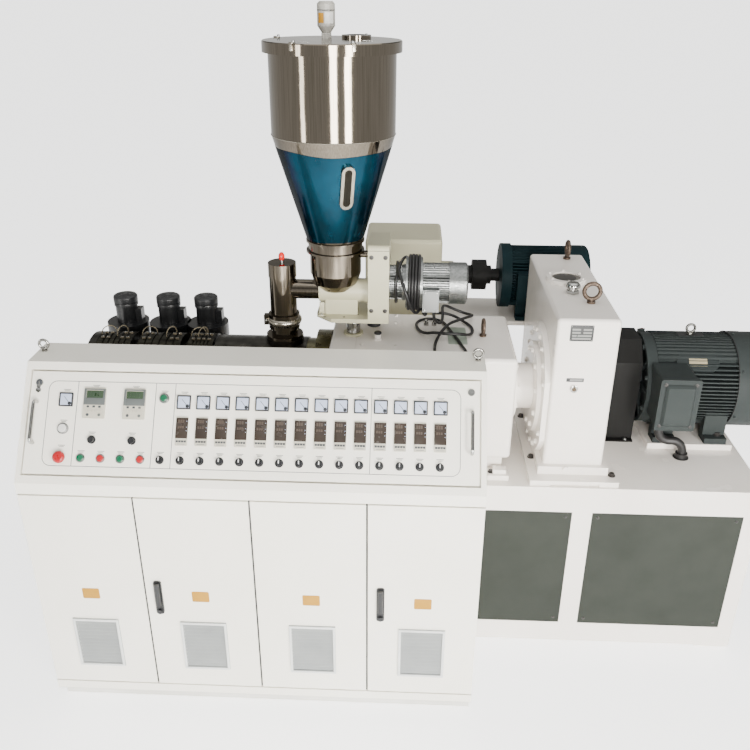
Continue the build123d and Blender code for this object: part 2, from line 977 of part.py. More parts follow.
def blower(x):
    """A small upright motor on a flat snail housing, with a duct to the heater shell."""
    motor = rod_z(x, blower_y, blower_motor_radius, (volute_top, blower_top))
    cap = rod_z(x, blower_y, blower_motor_radius + blower_cap_rise,
                (blower_top - blower_cap_height, blower_top))
    cap = fillet(cap.edges().sort_by(Axis.Z)[-1], blower_cap_rise * 2)
    volute = rod_z(x, blower_y, volute_radius, (volute_top - volute_height, volute_top))
    duct = block((x - duct_width / 2, x + duct_width / 2), (axis_y, blower_y),
                 (volute_top - volute_height - duct_drop, volute_top - volute_height / 2))
    duct -= rod_x(axis_y, axis_z, heater_radius + duct_clearance,
                  (x - duct_width, x + duct_width))
    duct -= block((x - duct_width, x + duct_width), (0, axis_y + barrel_radius / 2),
                  (0, blower_top))
    side = block((x + blower_motor_radius - blower_cap_rise,
                  x + blower_motor_radius + blower_box_width),
                 (blower_y - blower_box_depth / 2, blower_y + blower_box_depth / 2),
                 (volute_top, volute_top + blower_box_height))
    return motor + cap + volute + duct + side


for x in blower_centres:
    keep("barrel_blowers", blower(x))

# Distribution casing
casing_y = (axis_y - casing_half_width, axis_y + casing_half_width)
casing = block((casing_start, casing_end), casing_y, (casing_low, casing_top))
casing = fillet(casing.edges(), casing_radius)
for seam in casing_seams:
    casing -= block((seam, seam + casing_seam_width), (casing_y[0], casing_y[1]),
                    (casing_top - casing_seam_depth, casing_top + overrun))
foot_x = (casing_start + casing_foot_start_margin, casing_end - casing_foot_start_margin)
for low in (casing_y[0], casing_y[1] - casing_foot_width):
    casing += block(foot_x, (low + casing_foot_flange, low + casing_foot_width - casing_foot_flange),
                    (base_top, casing_low + casing_radius))
    casing += block((foot_x[0] - casing_foot_flange_reach, foot_x[1] + casing_foot_flange_reach),
                    (low, low + casing_foot_width), (base_top, base_top + casing_foot_flange))
casing_boss_y = axis_y + casing_boss_y_offset
casing += rod_z(casing_boss_x, casing_boss_y, casing_boss_radius,
                (casing_top, casing_top + casing_boss_rise))
casing += rod_z(casing_boss_x, casing_boss_y, casing_knob_radius,
                (casing_top, casing_top + casing_knob_rise))
keep("distribution_casing", casing)

neck = rod_x(axis_y, axis_z, neck_radius,
             (casing_end, gearbox_start - boss_rise - gear_flange_rise))
neck += rod_x(axis_y, axis_z, neck_flange_radius,
              (casing_end, casing_end + neck_flange_thickness))
keep("neck_flange", neck)

# Tall gearbox
gearbox_x = (gearbox_start, gearbox_end)
gearbox = block(gearbox_x, (gearbox_front, gearbox_back), (gearbox_low, gearbox_top))
gearbox = fillet(gearbox.edges(), gearbox_radius)
gearbox += block((gearbox_start - gearbox_skirt_reach, gearbox_end + gearbox_skirt_reach),
                 (gearbox_front - gearbox_skirt_reach, gearbox_back + gearbox_skirt_reach),
                 (gearbox_low, gearbox_low + gearbox_skirt_height))
gearbox += block((gearbox_start - gearbox_plate_margin_x, gearbox_end + gearbox_plate_margin_x),
                 (gearbox_plate_front, gearbox_plate_back), (base_top, gearbox_low))
boss = rod_x(axis_y, axis_z, boss_radius, (gearbox_start - boss_rise, gearbox_start + overrun))
boss &= block((gearbox_start - boss_rise, gearbox_end),
              (gearbox_front + gearbox_radius, gearbox_back - gearbox_radius),
              (gearbox_low + gearbox_skirt_height, gearbox_top - gearbox_radius))
gearbox += boss
gearbox += rod_x(axis_y, axis_z, gear_flange_radius,
                 (gearbox_start - boss_rise - gear_flange_rise, gearbox_start))
gearbox -= block((gearbox_slot_start, gearbox_slot_start + gearbox_slot_length),
                 (gearbox_plate_front - overrun, gearbox_plate_front + gearbox_slot_depth),
                 (base_top, base_top + gearbox_slot_height))
keep("gearbox_housing", gearbox)

port_x = gearbox_start + port_x_offset
port_y = gearbox_front + port_y_offset
port = rod_z(port_x, port_y, port_radius, (gearbox_top, gearbox_top + port_rise))
port -= rod_z(port_x, port_y, port_inner_radius,
              (gearbox_top, gearbox_top + port_rise + overrun))
breather = rod_z(gearbox_start + breather_x_offset, gearbox_front + breather_y_offset,
                 breather_radius, (gearbox_top, gearbox_top + breather_rise))
sight = rod_y(gearbox_start + sight_glass_x_offset, sight_glass_height, sight_glass_radius,
              (gearbox_front - sight_glass_rise, gearbox_front))
drain = rod_y(gearbox_start + sight_glass_x_offset, drain_plug_height, drain_plug_radius,
              (gearbox_front - gearbox_skirt_reach - drain_plug_rise,
               gearbox_front - gearbox_skirt_reach))
keep("gearbox_fittings", port, breather, sight, drain)

keep("lifting_eyes",
     lifting_eye(gearbox_start + gearbox_eye_x_offset, gearbox_front + gearbox_eye_front_offset,
                 gearbox_top, gearbox_eye_radius, gearbox_eye_wire),
     lifting_eye(gearbox_start + gearbox_eye_x_offset, gearbox_front + gearbox_eye_back_offset,
                 gearbox_top, gearbox_eye_radius, gearbox_eye_wire, along_x=False),
     lifting_eye(casing_eye_x, axis_y, casing_top, casing_eye_radius, casing_eye_wire,
                 along_x=False))

# Coupling guard: a folded sheet tunnel with feet
guard_outline = [
    (motor_axis_y - guard_half_width, base_top),
    (motor_axis_y - guard_half_width, guard_shoulder),
    (motor_axis_y - guard_top_half_width, guard_top),
    (motor_axis_y + guard_top_half_width, guard_top),
    (motor_axis_y + guard_half_width, guard_shoulder),
    (motor_axis_y + guard_half_width, base_top),
]
guard = sheet_x(guard_outline, (gearbox_end, guard_end))
guard -= block((gearbox_end - overrun, gearbox_end + gearbox_plate_margin_x),
               (motor_axis_y - 2 * guard_half_width, motor_axis_y + 2 * guard_half_width),
               (base_top - overrun, gearbox_low + gearbox_skirt_height))
for side in (-1, 1):
    edge = motor_axis_y + side * guard_half_width
    outer = edge + side * guard_foot_reach
    guard += block((gearbox_end + gearbox_plate_margin_x, guard_end),
                   (min(edge, outer), max(edge, outer)),
                   (base_top, base_top + guard_foot_thickness))
keep("coupling_guard", guard)


# Main motor

def finned_body(y, z, core, outer, x_span, pitch, thickness):
    """A cast motor housing: level fins on both sides and upright fins above and below."""
    body = rod_x(y, z, core, x_span)
    side_fins = rod_x(y, z, outer, x_span)
    length = x_span[1] - x_span[0]
    middle = (x_span[0] + x_span[1]) / 2
    gaps = None
    reach = int(outer / pitch)
    for step in range(-reach - 1, reach + 1):
        gap = Pos(middle, y, z + (step + middle_share) * pitch) * Box(
            length + 2 * overrun, 2 * outer + 2 * overrun, pitch - thickness)
        gaps = gap if gaps is None else gaps + gap
    wedge = [(y, z), (y + 2 * outer, z + 2 * outer), (y + 2 * outer, z - 2 * outer)]
    sector = sheet_x(wedge, x_span)
    level = (side_fins - gaps) & sector
    for quarter in range(4):
        turn = Pos(0, y, z) * Rot(quarter * quarter_turn, 0, 0) * Pos(0, -y, -z)
        body += turn * level
    return body


def vented_cowl(y, z, radius, x_span, sheet, rings, width, spokes, spoke_width):
    """A fan cowl: a cup with rounded end and ring slots between spokes."""
    cup = rod_x(y, z, radius, x_span)
    cup = fillet(cup.edges().sort_by(Axis.X)[-1], radius * cowl_edge_share)
    reach = radius * cowl_vent_share
    slots = None
    for ring in range(rings):
        outer = reach - ring * width * 2
        slot = rod_x(y, z, outer, (x_span[1] - sheet, x_span[1] + overrun))
        slot -= rod_x(y, z, outer - width, (x_span[1] - sheet - overrun, x_span[1] + 2 * overrun))
        slots = slot if slots is None else slots + slot
    for step in range(spokes):
        spoke = block((x_span[1] - 2 * sheet, x_span[1] + 2 * overrun),
                      (-spoke_width / 2, spoke_width / 2), (0, radius))
        slots -= Pos(0, y, z) * Rot(full_turn * step / spokes, 0, 0) * spoke
    return cup - slots


housing = finned_body(motor_axis_y, motor_axis_z, housing_core_radius, housing_fin_radius,
                      (housing_start, housing_end), fin_pitch, fin_thickness)
name_pad = block((-name_pad_length / 2, name_pad_length / 2),
                 (-name_pad_radius, 0), (-name_pad_width / 2, name_pad_width / 2))
name_pad = chamfer(name_pad.edges().filter_by(Axis.Y).sort_by(Axis.X)[:2]
                   + name_pad.edges().filter_by(Axis.Y).sort_by(Axis.X)[-2:], name_pad_corner)
housing += Pos((housing_start + housing_end) / 2, motor_axis_y, motor_axis_z) * Rot(
    -quarter_turn * middle_share, 0, 0) * name_pad
motor_low = base_top + motor_plate_thickness
foot_starts = (housing_start + motor_foot_margin,
               housing_end - motor_foot_margin - motor_foot_length)
for x in foot_starts:
    for side in (-1, 1):
        outer = motor_axis_y + side * motor_foot_half_width
        inner = outer - side * motor_foot_width
        y_span = (min(outer, inner), max(outer, inner))
        housing += block((x, x + motor_foot_length), y_span,
                         (motor_low, motor_low + motor_foot_thickness))
        web_outer = outer - side * motor_foot_web
        web_y = (min(web_outer, inner), max(web_outer, inner))
        housing += block((x, x + motor_foot_length), web_y, (motor_low, motor_axis_z))
keep("motor_housing", housing)

shield = rod_x(motor_axis_y, motor_axis_z, shield_radius, (motor_start, housing_start))
dish = rod_x(motor_axis_y, motor_axis_z, shield_radius - shield_rim,
             (motor_start - overrun, motor_start + shield_dish_depth))
dish -= rod_x(motor_axis_y, motor_axis_z, shield_hub_radius,
              (motor_start - 2 * overrun, motor_start + shield_dish_depth + overrun))
for step in range(shield_rib_count):
    rib = block((motor_start - 2 * overrun, motor_start + shield_dish_depth + overrun),
                (0, shield_radius), (-shield_rib_width / 2, shield_rib_width / 2))
    dish -= Pos(0, motor_axis_y, motor_axis_z) * Rot(full_turn * step / shield_rib_count, 0, 0) * rib
keep("motor_end_shield", shield - dish)

keep("motor_fan_cowl",
     vented_cowl(motor_axis_y, motor_axis_z, cowl_radius, (housing_end, motor_end), cowl_sheet,
                 cowl_vent_rings, cowl_vent_width, cowl_vent_spokes, cowl_spoke_width))

motor_plate_y = (motor_axis_y - motor_plate_half_width, motor_axis_y + motor_plate_half_width)
keep("motor_base_plate",
     block((motor_plate_start, motor_plate_start + motor_plate_length), motor_plate_y,
           (base_top, motor_low)))

box_x = (terminal_box_start, terminal_box_start + terminal_box_length)
box_z = (terminal_box_low, terminal_box_low + terminal_box_height)
terminal_box = block(box_x, (terminal_box_front + terminal_lid_thickness,
                             motor_axis_y - housing_core_radius / 2), box_z)
terminal_box = fillet(terminal_box.edges().filter_by(Axis.Y), terminal_box_radius)
terminal_box -= rod_x(motor_axis_y, motor_axis_z, cowl_radius, (motor_start, motor_end))
lid = block((box_x[0] - terminal_lid_reach, box_x[1] + terminal_lid_reach),
            (terminal_box_front, terminal_box_front + terminal_lid_thickness),
            (box_z[0] - terminal_lid_reach, box_z[1] + terminal_lid_reach))
lid = fillet(lid.edges().filter_by(Axis.Y), terminal_box_radius)
keep("motor_terminal_box", terminal_box + lid)

# The motor's cable conduit runs from the terminal box down into the base.
hose_top = terminal_box_low
conduit_path = FilletPolyline(
    (hose_top_x, hose_y, hose_top),
    (hose_top_x, hose_y, (hose_top + base_top) / 2),
    (hose_bottom_x, hose_y, (hose_top + base_top) / 2),
    (hose_bottom_x, hose_y, base_top),
    radius=(hose_bottom_x - hose_top_x) * bend_share,
)
conduit = sweep(Plane(conduit_path @ 0, z_dir=conduit_path % 0) * Circle(hose_radius), conduit_path)
gland = rod_z(hose_bottom_x, hose_y, hose_gland_radius, (base_top, base_top + hose_gland_height))
gland += rod_z(hose_top_x, hose_y, hose_gland_radius, (hose_top - hose_gland_height, hose_top))
keep("motor_conduit", conduit + gland)

# Hopper
at_hopper = Pos(hopper_x, axis_y, 0)
cylinder_shell = [
    (hopper_radius - hopper_wall, hopper_cylinder_low),
    (hopper_radius, hopper_cylinder_low),
    (hopper_radius, hopper_cylinder_high),
    (hopper_radius - hopper_wall, hopper_cylinder_high),
]
keep("hopper_cylinder", turned(cylinder_shell, at_hopper))

cone_shell = [
    (hopper_cone_low_radius - hopper_wall, hopper_cone_low),
    (hopper_cone_low_radius, hopper_cone_low),
    (hopper_radius, hopper_cylinder_low),
    (hopper_radius - hopper_wall, hopper_cylinder_low),
]
keep("hopper_cone", turned(cone_shell, at_hopper))

lid_top = hopper_cylinder_high + hopper_lid_thickness
lid_profile = [
    (0, hopper_cylinder_high),
    (hopper_radius + hopper_lid_clearance, hopper_cylinder_high),
    (hopper_radius + hopper_lid_clearance, hopper_cylinder_high - hopper_lid_lip / 2),
    (hopper_lid_radius, hopper_cylinder_high - hopper_lid_lip / 2),
    (hopper_lid_radius, lid_top - weld_bead),
    (hopper_lid_radius - weld_bead, lid_top),
    (0, lid_top),
]
hopper_lid = turned(lid_profile, at_hopper)
inspection = (hopper_x + inspection_x_offset, axis_y + inspection_y_offset)
hopper_lid += rod_z(*inspection, inspection_radius, (lid_top, lid_top + inspection_rise))
hopper_lid -= rod_z(*inspection, inspection_hole_radius,
                    (lid_top + inspection_rise / 2, lid_top + inspection_rise + overrun))
keep("hopper_lid", hopper_lid)

cone_slope = (hopper_radius - hopper_cone_low_radius) / (hopper_cylinder_low - hopper_cone_low)
window_middle = (sight_window_low + sight_window_high) / 2
window_radius = hopper_cone_low_radius + cone_slope * (window_middle - hopper_cone_low)
window_length = (sight_window_high - sight_window_low) * sqrt(cone_slope ** 2 + 1)
window = extrude(SlotOverall(window_length, sight_window_width, rotation=quarter_turn),
                 sight_window_thickness)
window_frame = Plane(
    origin=(window_radius * sin(radians(sight_window_angle)),
            -window_radius * cos(radians(sight_window_angle)), window_middle),
    x_dir=(cos(radians(sight_window_angle)), sin(radians(sight_window_angle)), 0),
    z_dir=(sin(radians(sight_window_angle)), -cos(radians(sight_window_angle)), -cone_slope),
)
window = at_hopper * window_frame.location * Pos(0, 0, -sight_window_sink) * window
cone_solid = turned([(0, hopper_cone_low), (hopper_cone_low_radius, hopper_cone_low),
                     (hopper_radius, hopper_cylinder_low), (0, hopper_cylinder_low)], at_hopper)
keep("hopper_fittings", window - cone_solid)

sensor_x = hopper_x + sensor_x_offset
sensor_y = axis_y + sensor_y_offset
sensor = block((sensor_x - sensor_neck_half, sensor_x + sensor_neck_half),
               (sensor_y - sensor_neck_half, sensor_y + sensor_neck_half),
               (lid_top, lid_top + sensor_neck_rise))
sensor_profile = [
    (0, lid_top + sensor_neck_rise),
    (sensor_neck_half, lid_top + sensor_neck_rise),
    (sensor_radius, sensor_body_low),
    (sensor_radius, sensor_top - sensor_cap_rise),
    (sensor_radius - sensor_cap_rise, sensor_top),
    (0, sensor_top),
]
sensor += turned(sensor_profile, Pos(sensor_x, sensor_y, 0))
keep("hopper_fittings", sensor)

# Feeder bowl with its clamp ring and the agitator's shaft
ring_profile = [
    (0, bowl_low),
    (bowl_low_radius, bowl_low),
    (bowl_radius * bowl_curve_shares[0],
     bowl_low + (bowl_straight_low - bowl_low) * bowl_curve_shares[1]),
    (bowl_radius, bowl_straight_low),
    (bowl_radius, clamp_ring_low),
    (clamp_ring_radius, clamp_ring_low),
    (clamp_ring_radius, clamp_ring_low + clamp_ring_flange),
    (clamp_ring_body_radius, clamp_ring_low + clamp_ring_flange),
    (clamp_ring_body_radius, hopper_cone_low - clamp_ring_flange),
    (clamp_ring_radius, hopper_cone_low - clamp_ring_flange),
    (clamp_ring_radius, hopper_cone_low),
    (0, hopper_cone_low),
]
bowl = turned(ring_profile, at_hopper)
bowl -= rod_x(axis_y, dosing_z, screw_housing_radius, (screw_housing_start, chain_cover_start))
bowl -= rod_x(axis_y, dosing_z, dosing_radius, (drop_x, screw_housing_start))
bowl += rod_x(axis_y, agitator_z, agitator_radius, (hopper_x, chain_cover_start))
keep("feeder_bowl", bowl)

# Chrome feed tubes: the dosing tube and the upright drop tube with its cap
tube = rod_z(drop_x, axis_y, drop_radius, (drop_low, drop_high))
tube += rod_z(drop_x, axis_y, drop_flange_radius, (drop_low, drop_low + drop_flange_thickness))
tube += rod_z(drop_x, axis_y, drop_radius + drop_cap_reach, (drop_high, drop_cap_high))
tube += rod_x(axis_y, dosing_z, dosing_radius, (drop_x, screw_housing_start))
tube += rod_z(drop_x, axis_y, drop_radius + pipe_clamp_reach, (pipe_clamp_low, pipe_clamp_high))
tube += block((drop_x - drop_radius - pipe_clamp_reach - pipe_clamp_lug_reach, drop_x),
              (axis_y - pipe_clamp_lug_width / 2, axis_y + pipe_clamp_lug_width / 2),
              (pipe_clamp_low + pipe_clamp_reach, pipe_clamp_high - pipe_clamp_reach))
keep("feed_tubes", tube)

knob_middle = drop_cap_high + drop_knob_stem + drop_knob_height / 2
knob = rod_z(drop_x, axis_y, drop_knob_stem, (drop_cap_high, knob_middle))
knob += Pos(drop_x, axis_y, knob_middle) * scale(
    Sphere(1), by=(drop_knob_radius, drop_knob_radius, drop_knob_height / 2))
keep("drop_tube_knob", knob)

# Feeder base: a plate with a cut corner on a chrome post, and the bowl's pedestal
plate_points = [
    (feeder_plate_start, feeder_plate_back),
    (feeder_plate_start, feeder_plate_front + feeder_plate_corner),
    (feeder_plate_start + feeder_plate_corner, feeder_plate_front),
    (chain_cover_end, feeder_plate_front),
    (chain_cover_end, feeder_plate_back),
]
plate_low = feeder_plate_top - feeder_plate_thickness
feeder_plate = Pos(0, 0, plate_low) * extrude(Polygon(*plate_points, align=None),
                                              feeder_plate_thickness)
feeder_plate += rod_x(axis_y, dosing_z, screw_housing_radius,
                      (screw_housing_start, chain_cover_start))
feeder_plate += rod_x(axis_y, dosing_z, screw_flange_radius,
                      (chain_cover_start - screw_flange_thickness, chain_cover_start))
feeder_plate += block((pedestal_start, pedestal_end),
                      (axis_y - pedestal_width / 2, axis_y + pedestal_width / 2),
                      (feeder_plate_top, dosing_z))
feeder_plate += rod_z(post_x, axis_y, post_radius, (casing_top, plate_low))
feeder_plate += rod_z(post_x, axis_y, post_flange_radius,
                      (casing_top, casing_top + post_flange_thickness))
keep("feeder_base", feeder_plate)

chain_cover = block((chain_cover_start, chain_cover_end),
                    (feeder_plate_front, feeder_plate_back), (feeder_plate_top, chain_cover_top))
chain_cover = fillet(chain_cover.edges().filter_by(Axis.X).sort_by(Axis.Z)[-2:],
                     chain_cover_radius)
keep("chain_cover", chain_cover)

reducer_x = (chain_cover_end, drum_start - reducer_flange_thickness)
feeder_motor = finned_body(axis_y, feeder_axis_z, reducer_core_radius, reducer_radius,
                           reducer_x, feeder_fin_pitch, feeder_fin_thickness)
feeder_motor += rod_x(axis_y, feeder_axis_z, reducer_flange_radius, (reducer_x[1], drum_start))
feeder_motor += rod_x(axis_y, feeder_axis_z, feeder_drum_radius,
                      (drum_start, feeder_motor_start))
feeder_motor += finned_body(axis_y, feeder_axis_z, feeder_core_radius, feeder_motor_radius,
                            (feeder_motor_start, feeder_motor_end), feeder_fin_pitch,
                            feeder_fin_thickness)
feeder_motor += vented_cowl(axis_y, feeder_axis_z, feeder_cowl_radius,
                            (feeder_motor_end, feeder_motor_end + feeder_cowl_length),
                            cowl_sheet, 2, cowl_vent_width, cowl_vent_spokes, cowl_spoke_width)
feeder_box = block((feeder_box_start, feeder_box_start + feeder_box_length),
                   (feeder_box_front, axis_y),
                   (feeder_box_low, feeder_box_low + feeder_box_height))
feeder_motor += feeder_box
for gland_x in box_gland_xs:
    feeder_motor += rod_z(gland_x, box_gland_y, cable_gland_radius,
                          (feeder_box_low - box_gland_height, feeder_box_low))
keep("feeder_motor", feeder_motor)

# The coil is wound on the drum, and one of its turns lies round the finned reducer.
coil_span = (drum_start + coil_end_clearance, feeder_motor_start - coil_end_clearance)
coil = rod_x(axis_y, feeder_axis_z, coil_radius, coil_span)
coil -= rod_x(axis_y, feeder_axis_z, feeder_drum_radius + coil_inner_clearance,
              (coil_span[0] - overrun, coil_span[1] + overrun))
turn_span = (coil_turn_start, coil_turn_start + coil_turn_width)
coil_turn = rod_x(axis_y, feeder_axis_z, coil_turn_radius, turn_span)
coil_turn -= rod_x(axis_y, feeder_axis_z, reducer_radius + coil_inner_clearance,
                   (turn_span[0] - overrun, turn_span[1] + overrun))
keep("feeder_cable_coil", coil, coil_turn)


def cable(name, route):
    """A loose cable along its route, with each arc as large as its two runs allow."""
    points = [Vector(*point) for point in route]
    radii = []
    for before, here, after in zip(points, points[1:], points[2:]):
        arriving = here - before
        leaving = after - here
        turn = radians(arriving.get_angle(leaving))
        radii.append(bend_share * min(arriving.length, leaving.length) / tan(turn / 2))
    path = FilletPolyline(*points, radius=radii)
    body = sweep(Plane(path @ 0, z_dir=path % 0) * Circle(cable_radius), path)
    print(name, "length", path.length, "least radius", min(radii),
          "volume share", body.volume / (pi * cable_radius ** 2 * path.length))
    keep(name, body)


# Each cable comes up out of the base between the cabinet and the casing, goes over the
# casing's edge and lies on its top. The first makes a loop there and rises to the coil.
# The second crosses it and rises to the motor's terminal box.
feeder_cable_route = [
    (1524, 458, 817), (1524, 458, 895), (1527, 461, 1010), (1524, 457, 1125), (1525, 459, 1213),
    (1525, 477, 1270), (1523, 521, 1299), (1519, 573, 1287), (1512, 625, 1279), (1501, 677, 1279),
    (1487, 727, 1279), (1472, 777, 1279), (1461, 828, 1279), (1440, 874, 1279), (1397, 897, 1279),
    (1355, 878, 1279), (1338, 834, 1279), (1345, 777, 1279), (1369, 726, 1282), (1409, 689, 1303),
    (1459, 673, 1304), (1508, 679, 1303), (1546, 711, 1284), (1565, 760, 1279), (1562, 812, 1279),
    (1537, 858, 1281), (1496, 892, 1294), (1452, 900, 1303), (1420, 880, 1309), (1416, 848, 1325),
    (1413, 820, 1350), (1413, 800, 1379), (1390, 787, 1399), (1356, 787, 1399),
]
power_cable_route = [
    (1406, 458, 817), (1406, 458, 895), (1404, 461, 1010), (1406, 457, 1125), (1405, 459, 1213),
    (1405, 477, 1270), (1406, 521, 1299), (1408, 573, 1287), (1411, 626, 1279), (1419, 678, 1279),
    (1437, 726, 1290), (1462, 768, 1304), (1495, 808, 1304), (1533, 843, 1304), (1565, 879, 1299),
    (1573, 923, 1287), (1543, 956, 1281), (1493, 957, 1300), (1456, 936, 1324), (1444, 893, 1330),
    (1446, 842, 1320), (1442, 793, 1310), (1429, 747, 1317), (1411, 713, 1343), (1403, 692, 1370),
    (1403, 692, 1399),
]
cable("feeder_cable", feeder_cable_route)
cable("feeder_power_cable", power_cable_route)

# Vacuum pump set behind the machine
pump = block((pump_start, pump_end), (pump_front, pump_back), (pump_low, pump_top))
pump = fillet(pump.edges(), pump_radius)
pump += rod_x(pump_axis_y, pump_axis_z, pump_hub_radius, (pump_end, pump_end + pump_hub_length))
keep("vacuum_pump", pump)

coupling_x = (pump_end + pump_hub_length + coupling_end_clearance,
              pump_motor_start - coupling_end_clearance)
coupling_hub_reach = coupling_disc_thickness * coupling_hub_share
coupling = rod_x(pump_axis_y, pump_axis_z, coupling_shaft_radius, coupling_x)
coupling += rod_x(pump_axis_y, pump_axis_z, coupling_hub_radius,
                  (coupling_disc_start - coupling_hub_reach,
                   coupling_disc_start + coupling_disc_thickness + coupling_hub_reach))
coupling += rod_x(pump_axis_y, pump_axis_z, coupling_disc_radius,
                  (coupling_disc_start, coupling_disc_start + coupling_disc_thickness))
keep("pump_coupling", coupling)

pump_motor = rod_x(pump_axis_y, pump_axis_z, pump_flange_radius,
                   (pump_motor_start, pump_motor_body))
pump_motor += finned_body(pump_axis_y, pump_axis_z, pump_motor_core_radius,
                          pump_motor_fin_radius, (pump_motor_body, pump_motor_end),
                          pump_fin_pitch, pump_fin_thickness)
pump_motor += vented_cowl(pump_axis_y, pump_axis_z, pump_cowl_radius,
                          (pump_motor_end, stand_end), cowl_sheet, cowl_vent_rings,
                          cowl_vent_width, cowl_vent_spokes, cowl_spoke_width)
pump_foot_x = (pump_motor_body + pump_foot_margin,
               pump_motor_body + pump_foot_margin + pump_foot_length)
for side in (-1, 1):
    outer = pump_axis_y + side * pump_foot_half_width
    inner = outer - side * pump_foot_width
    pump_motor += block(pump_foot_x, (min(outer, inner), max(outer, inner)),
                        (pump_low, pump_low + pump_foot_thickness))
    web = outer - side * pump_foot_width / 2
    pump_motor += block(pump_foot_x, (min(web, inner), max(web, inner)), (pump_low, pump_axis_z))
pump_box_front = pump_axis_y - pump_motor_fin_radius - pump_box_rise
pump_motor += block((pump_box_start, pump_box_start + pump_box_length),
                    (pump_box_front, pump_axis_y),
                    (pump_axis_z - pump_box_height / 2, pump_axis_z + pump_box_height / 2))
keep("pump_motor", pump_motor)

stand_low = pump_low - stand_plate_thickness
stand = block((pump_start, stand_end), (pump_front, pump_back), (stand_low, pump_low))
for x in stand_leg_xs:
    for y in (base_back, pump_back - stand_tube):
        stand += block((x - stand_tube / 2, x + stand_tube / 2), (y, y + stand_tube),
                       (0, stand_low))
    stand += block((x - stand_tube / 2, x + stand_tube / 2), (base_back, pump_back),
                   (stand_rail_height, stand_rail_height + stand_tube))
stand += block((stand_leg_xs[0], stand_leg_xs[-1]), (pump_back - stand_tube, pump_back),
               (stand_rail_height, stand_rail_height + stand_tube))
keep("pump_stand", stand)

# The origin goes under the middle of the machine, on the floor.
cord_names = ("feeder_cable_coil", "feeder_cable", "feeder_power_cable")
whole = Compound([solid for name, solids in pieces.items() if name not in cord_names
                  for part in solids for solid in part.solids()])
extent = whole.bounding_box()
origin_shift = Vector(-(extent.min.X + extent.max.X) / 2, -(extent.min.Y + extent.max.Y) / 2, 0)

os.makedirs("parts", exist_ok=True)
for name, solids in pieces.items():
    placed = [Pos(origin_shift) * solid for part in solids for solid in part.solids()]
    shape = placed[0] if len(placed) == 1 else Compound(placed)
    export_step(shape, f"parts/{name}.step")
print("size", extent.size, "shift", origin_shift, "pieces", len(pieces))
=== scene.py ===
from math import atan2, cos, pi, radians, sin

import bpy
from mathutils import Matrix, Vector


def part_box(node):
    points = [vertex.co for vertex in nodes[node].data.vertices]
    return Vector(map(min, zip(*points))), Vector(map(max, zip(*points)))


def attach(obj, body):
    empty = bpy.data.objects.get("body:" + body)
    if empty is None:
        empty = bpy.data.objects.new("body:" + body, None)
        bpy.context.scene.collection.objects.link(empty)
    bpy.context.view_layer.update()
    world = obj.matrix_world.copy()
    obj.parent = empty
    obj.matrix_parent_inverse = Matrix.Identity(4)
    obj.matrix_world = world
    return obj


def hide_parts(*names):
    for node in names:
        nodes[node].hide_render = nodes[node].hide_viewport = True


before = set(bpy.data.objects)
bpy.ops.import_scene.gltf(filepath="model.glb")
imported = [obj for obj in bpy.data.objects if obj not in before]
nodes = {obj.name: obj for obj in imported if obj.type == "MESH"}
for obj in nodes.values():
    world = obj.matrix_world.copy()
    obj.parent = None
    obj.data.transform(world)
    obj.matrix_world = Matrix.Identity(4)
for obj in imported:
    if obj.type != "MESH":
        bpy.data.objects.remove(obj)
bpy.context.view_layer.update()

# The place of everything. The machine was measured in millimetres from the left front
# corner of its console on the floor, so that corner is where each measure starts.
console_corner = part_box("cabinet_side_walls")[0]
mm = 0.001


def at(x, y, z):
    """A measured point, in millimetres from the console's corner, as a point of the frame."""
    return Vector((console_corner.x + x * mm, console_corner.y + y * mm, z * mm))


def standing(x, y, z):
    """The place of what stands unturned at a measured point."""
    return Matrix.Translation(at(x, y, z))


# The camera stands in front of the console, a little right of the hopper and above it, and
# looks down at the machine. Its lens and its turns were fitted to edges in the photograph.
photo_pixels = 750
focal_pixels = 819.76
camera_pitch = 0.4471823
camera_yaw = -0.0408558
camera_roll = 0.0053664
camera_data = bpy.data.cameras.new("photo_camera")
camera = bpy.data.objects.new("photo_camera", camera_data)
bpy.context.scene.collection.objects.link(camera)
bpy.context.scene.camera = camera
camera_data.sensor_width = 36
camera_data.lens = focal_pixels / photo_pixels * camera_data.sensor_width
camera_data.clip_end = 600
view_line = Vector((sin(camera_yaw) * cos(camera_pitch), cos(camera_yaw) * cos(camera_pitch),
                    -sin(camera_pitch)))
level_side = Vector((cos(camera_yaw), -sin(camera_yaw), 0))
upright = level_side.cross(view_line)
camera_x = cos(camera_roll) * level_side + sin(camera_roll) * upright
camera_y = cos(camera_roll) * upright - sin(camera_roll) * level_side
camera_place = (1299.67, -2261.85, 2529.72)
camera.matrix_world = standing(*camera_place) @ Matrix(
    (camera_x, camera_y, -view_line)).transposed().to_4x4()

# The two loose cables of the feeder motor: black PVC leads, 12 mm thick. Each comes up out
# of a gland in the base. One is wound on the motor's drum, the other enters its terminal box.
cable_diameter = 12
coil_middle = (735, 1490)
points_a_turn = 16


def linear(colour):
    """An sRGB hex colour as the linear values that a shader takes."""
    parts = [int(colour[i:i + 2], 16) / 255 for i in (1, 3, 5)]
    return [p / 12.92 if p <= 0.04045 else ((p + 0.055) / 1.055) ** 2.4 for p in parts] + [1]


def add_node(tree, kind, inputs=None, **settings):
    """Adds a shader node with its settings, and sets or links its inputs."""
    node = tree.nodes.new(kind)
    for setting, value in settings.items():
        setattr(node, setting, value)
    for socket, value in (inputs or {}).items():
        if isinstance(value, bpy.types.NodeSocket):
            tree.links.new(value, node.inputs[socket])
        else:
            node.inputs[socket].default_value = value
    return node


def new_material(name):
    """An empty material with its tree and its Object coordinates."""
    material = bpy.data.materials.new(name)
    material.use_nodes = True
    tree = material.node_tree
    tree.nodes.clear()
    return material, tree, add_node(tree, "ShaderNodeTexCoord").outputs["Object"]


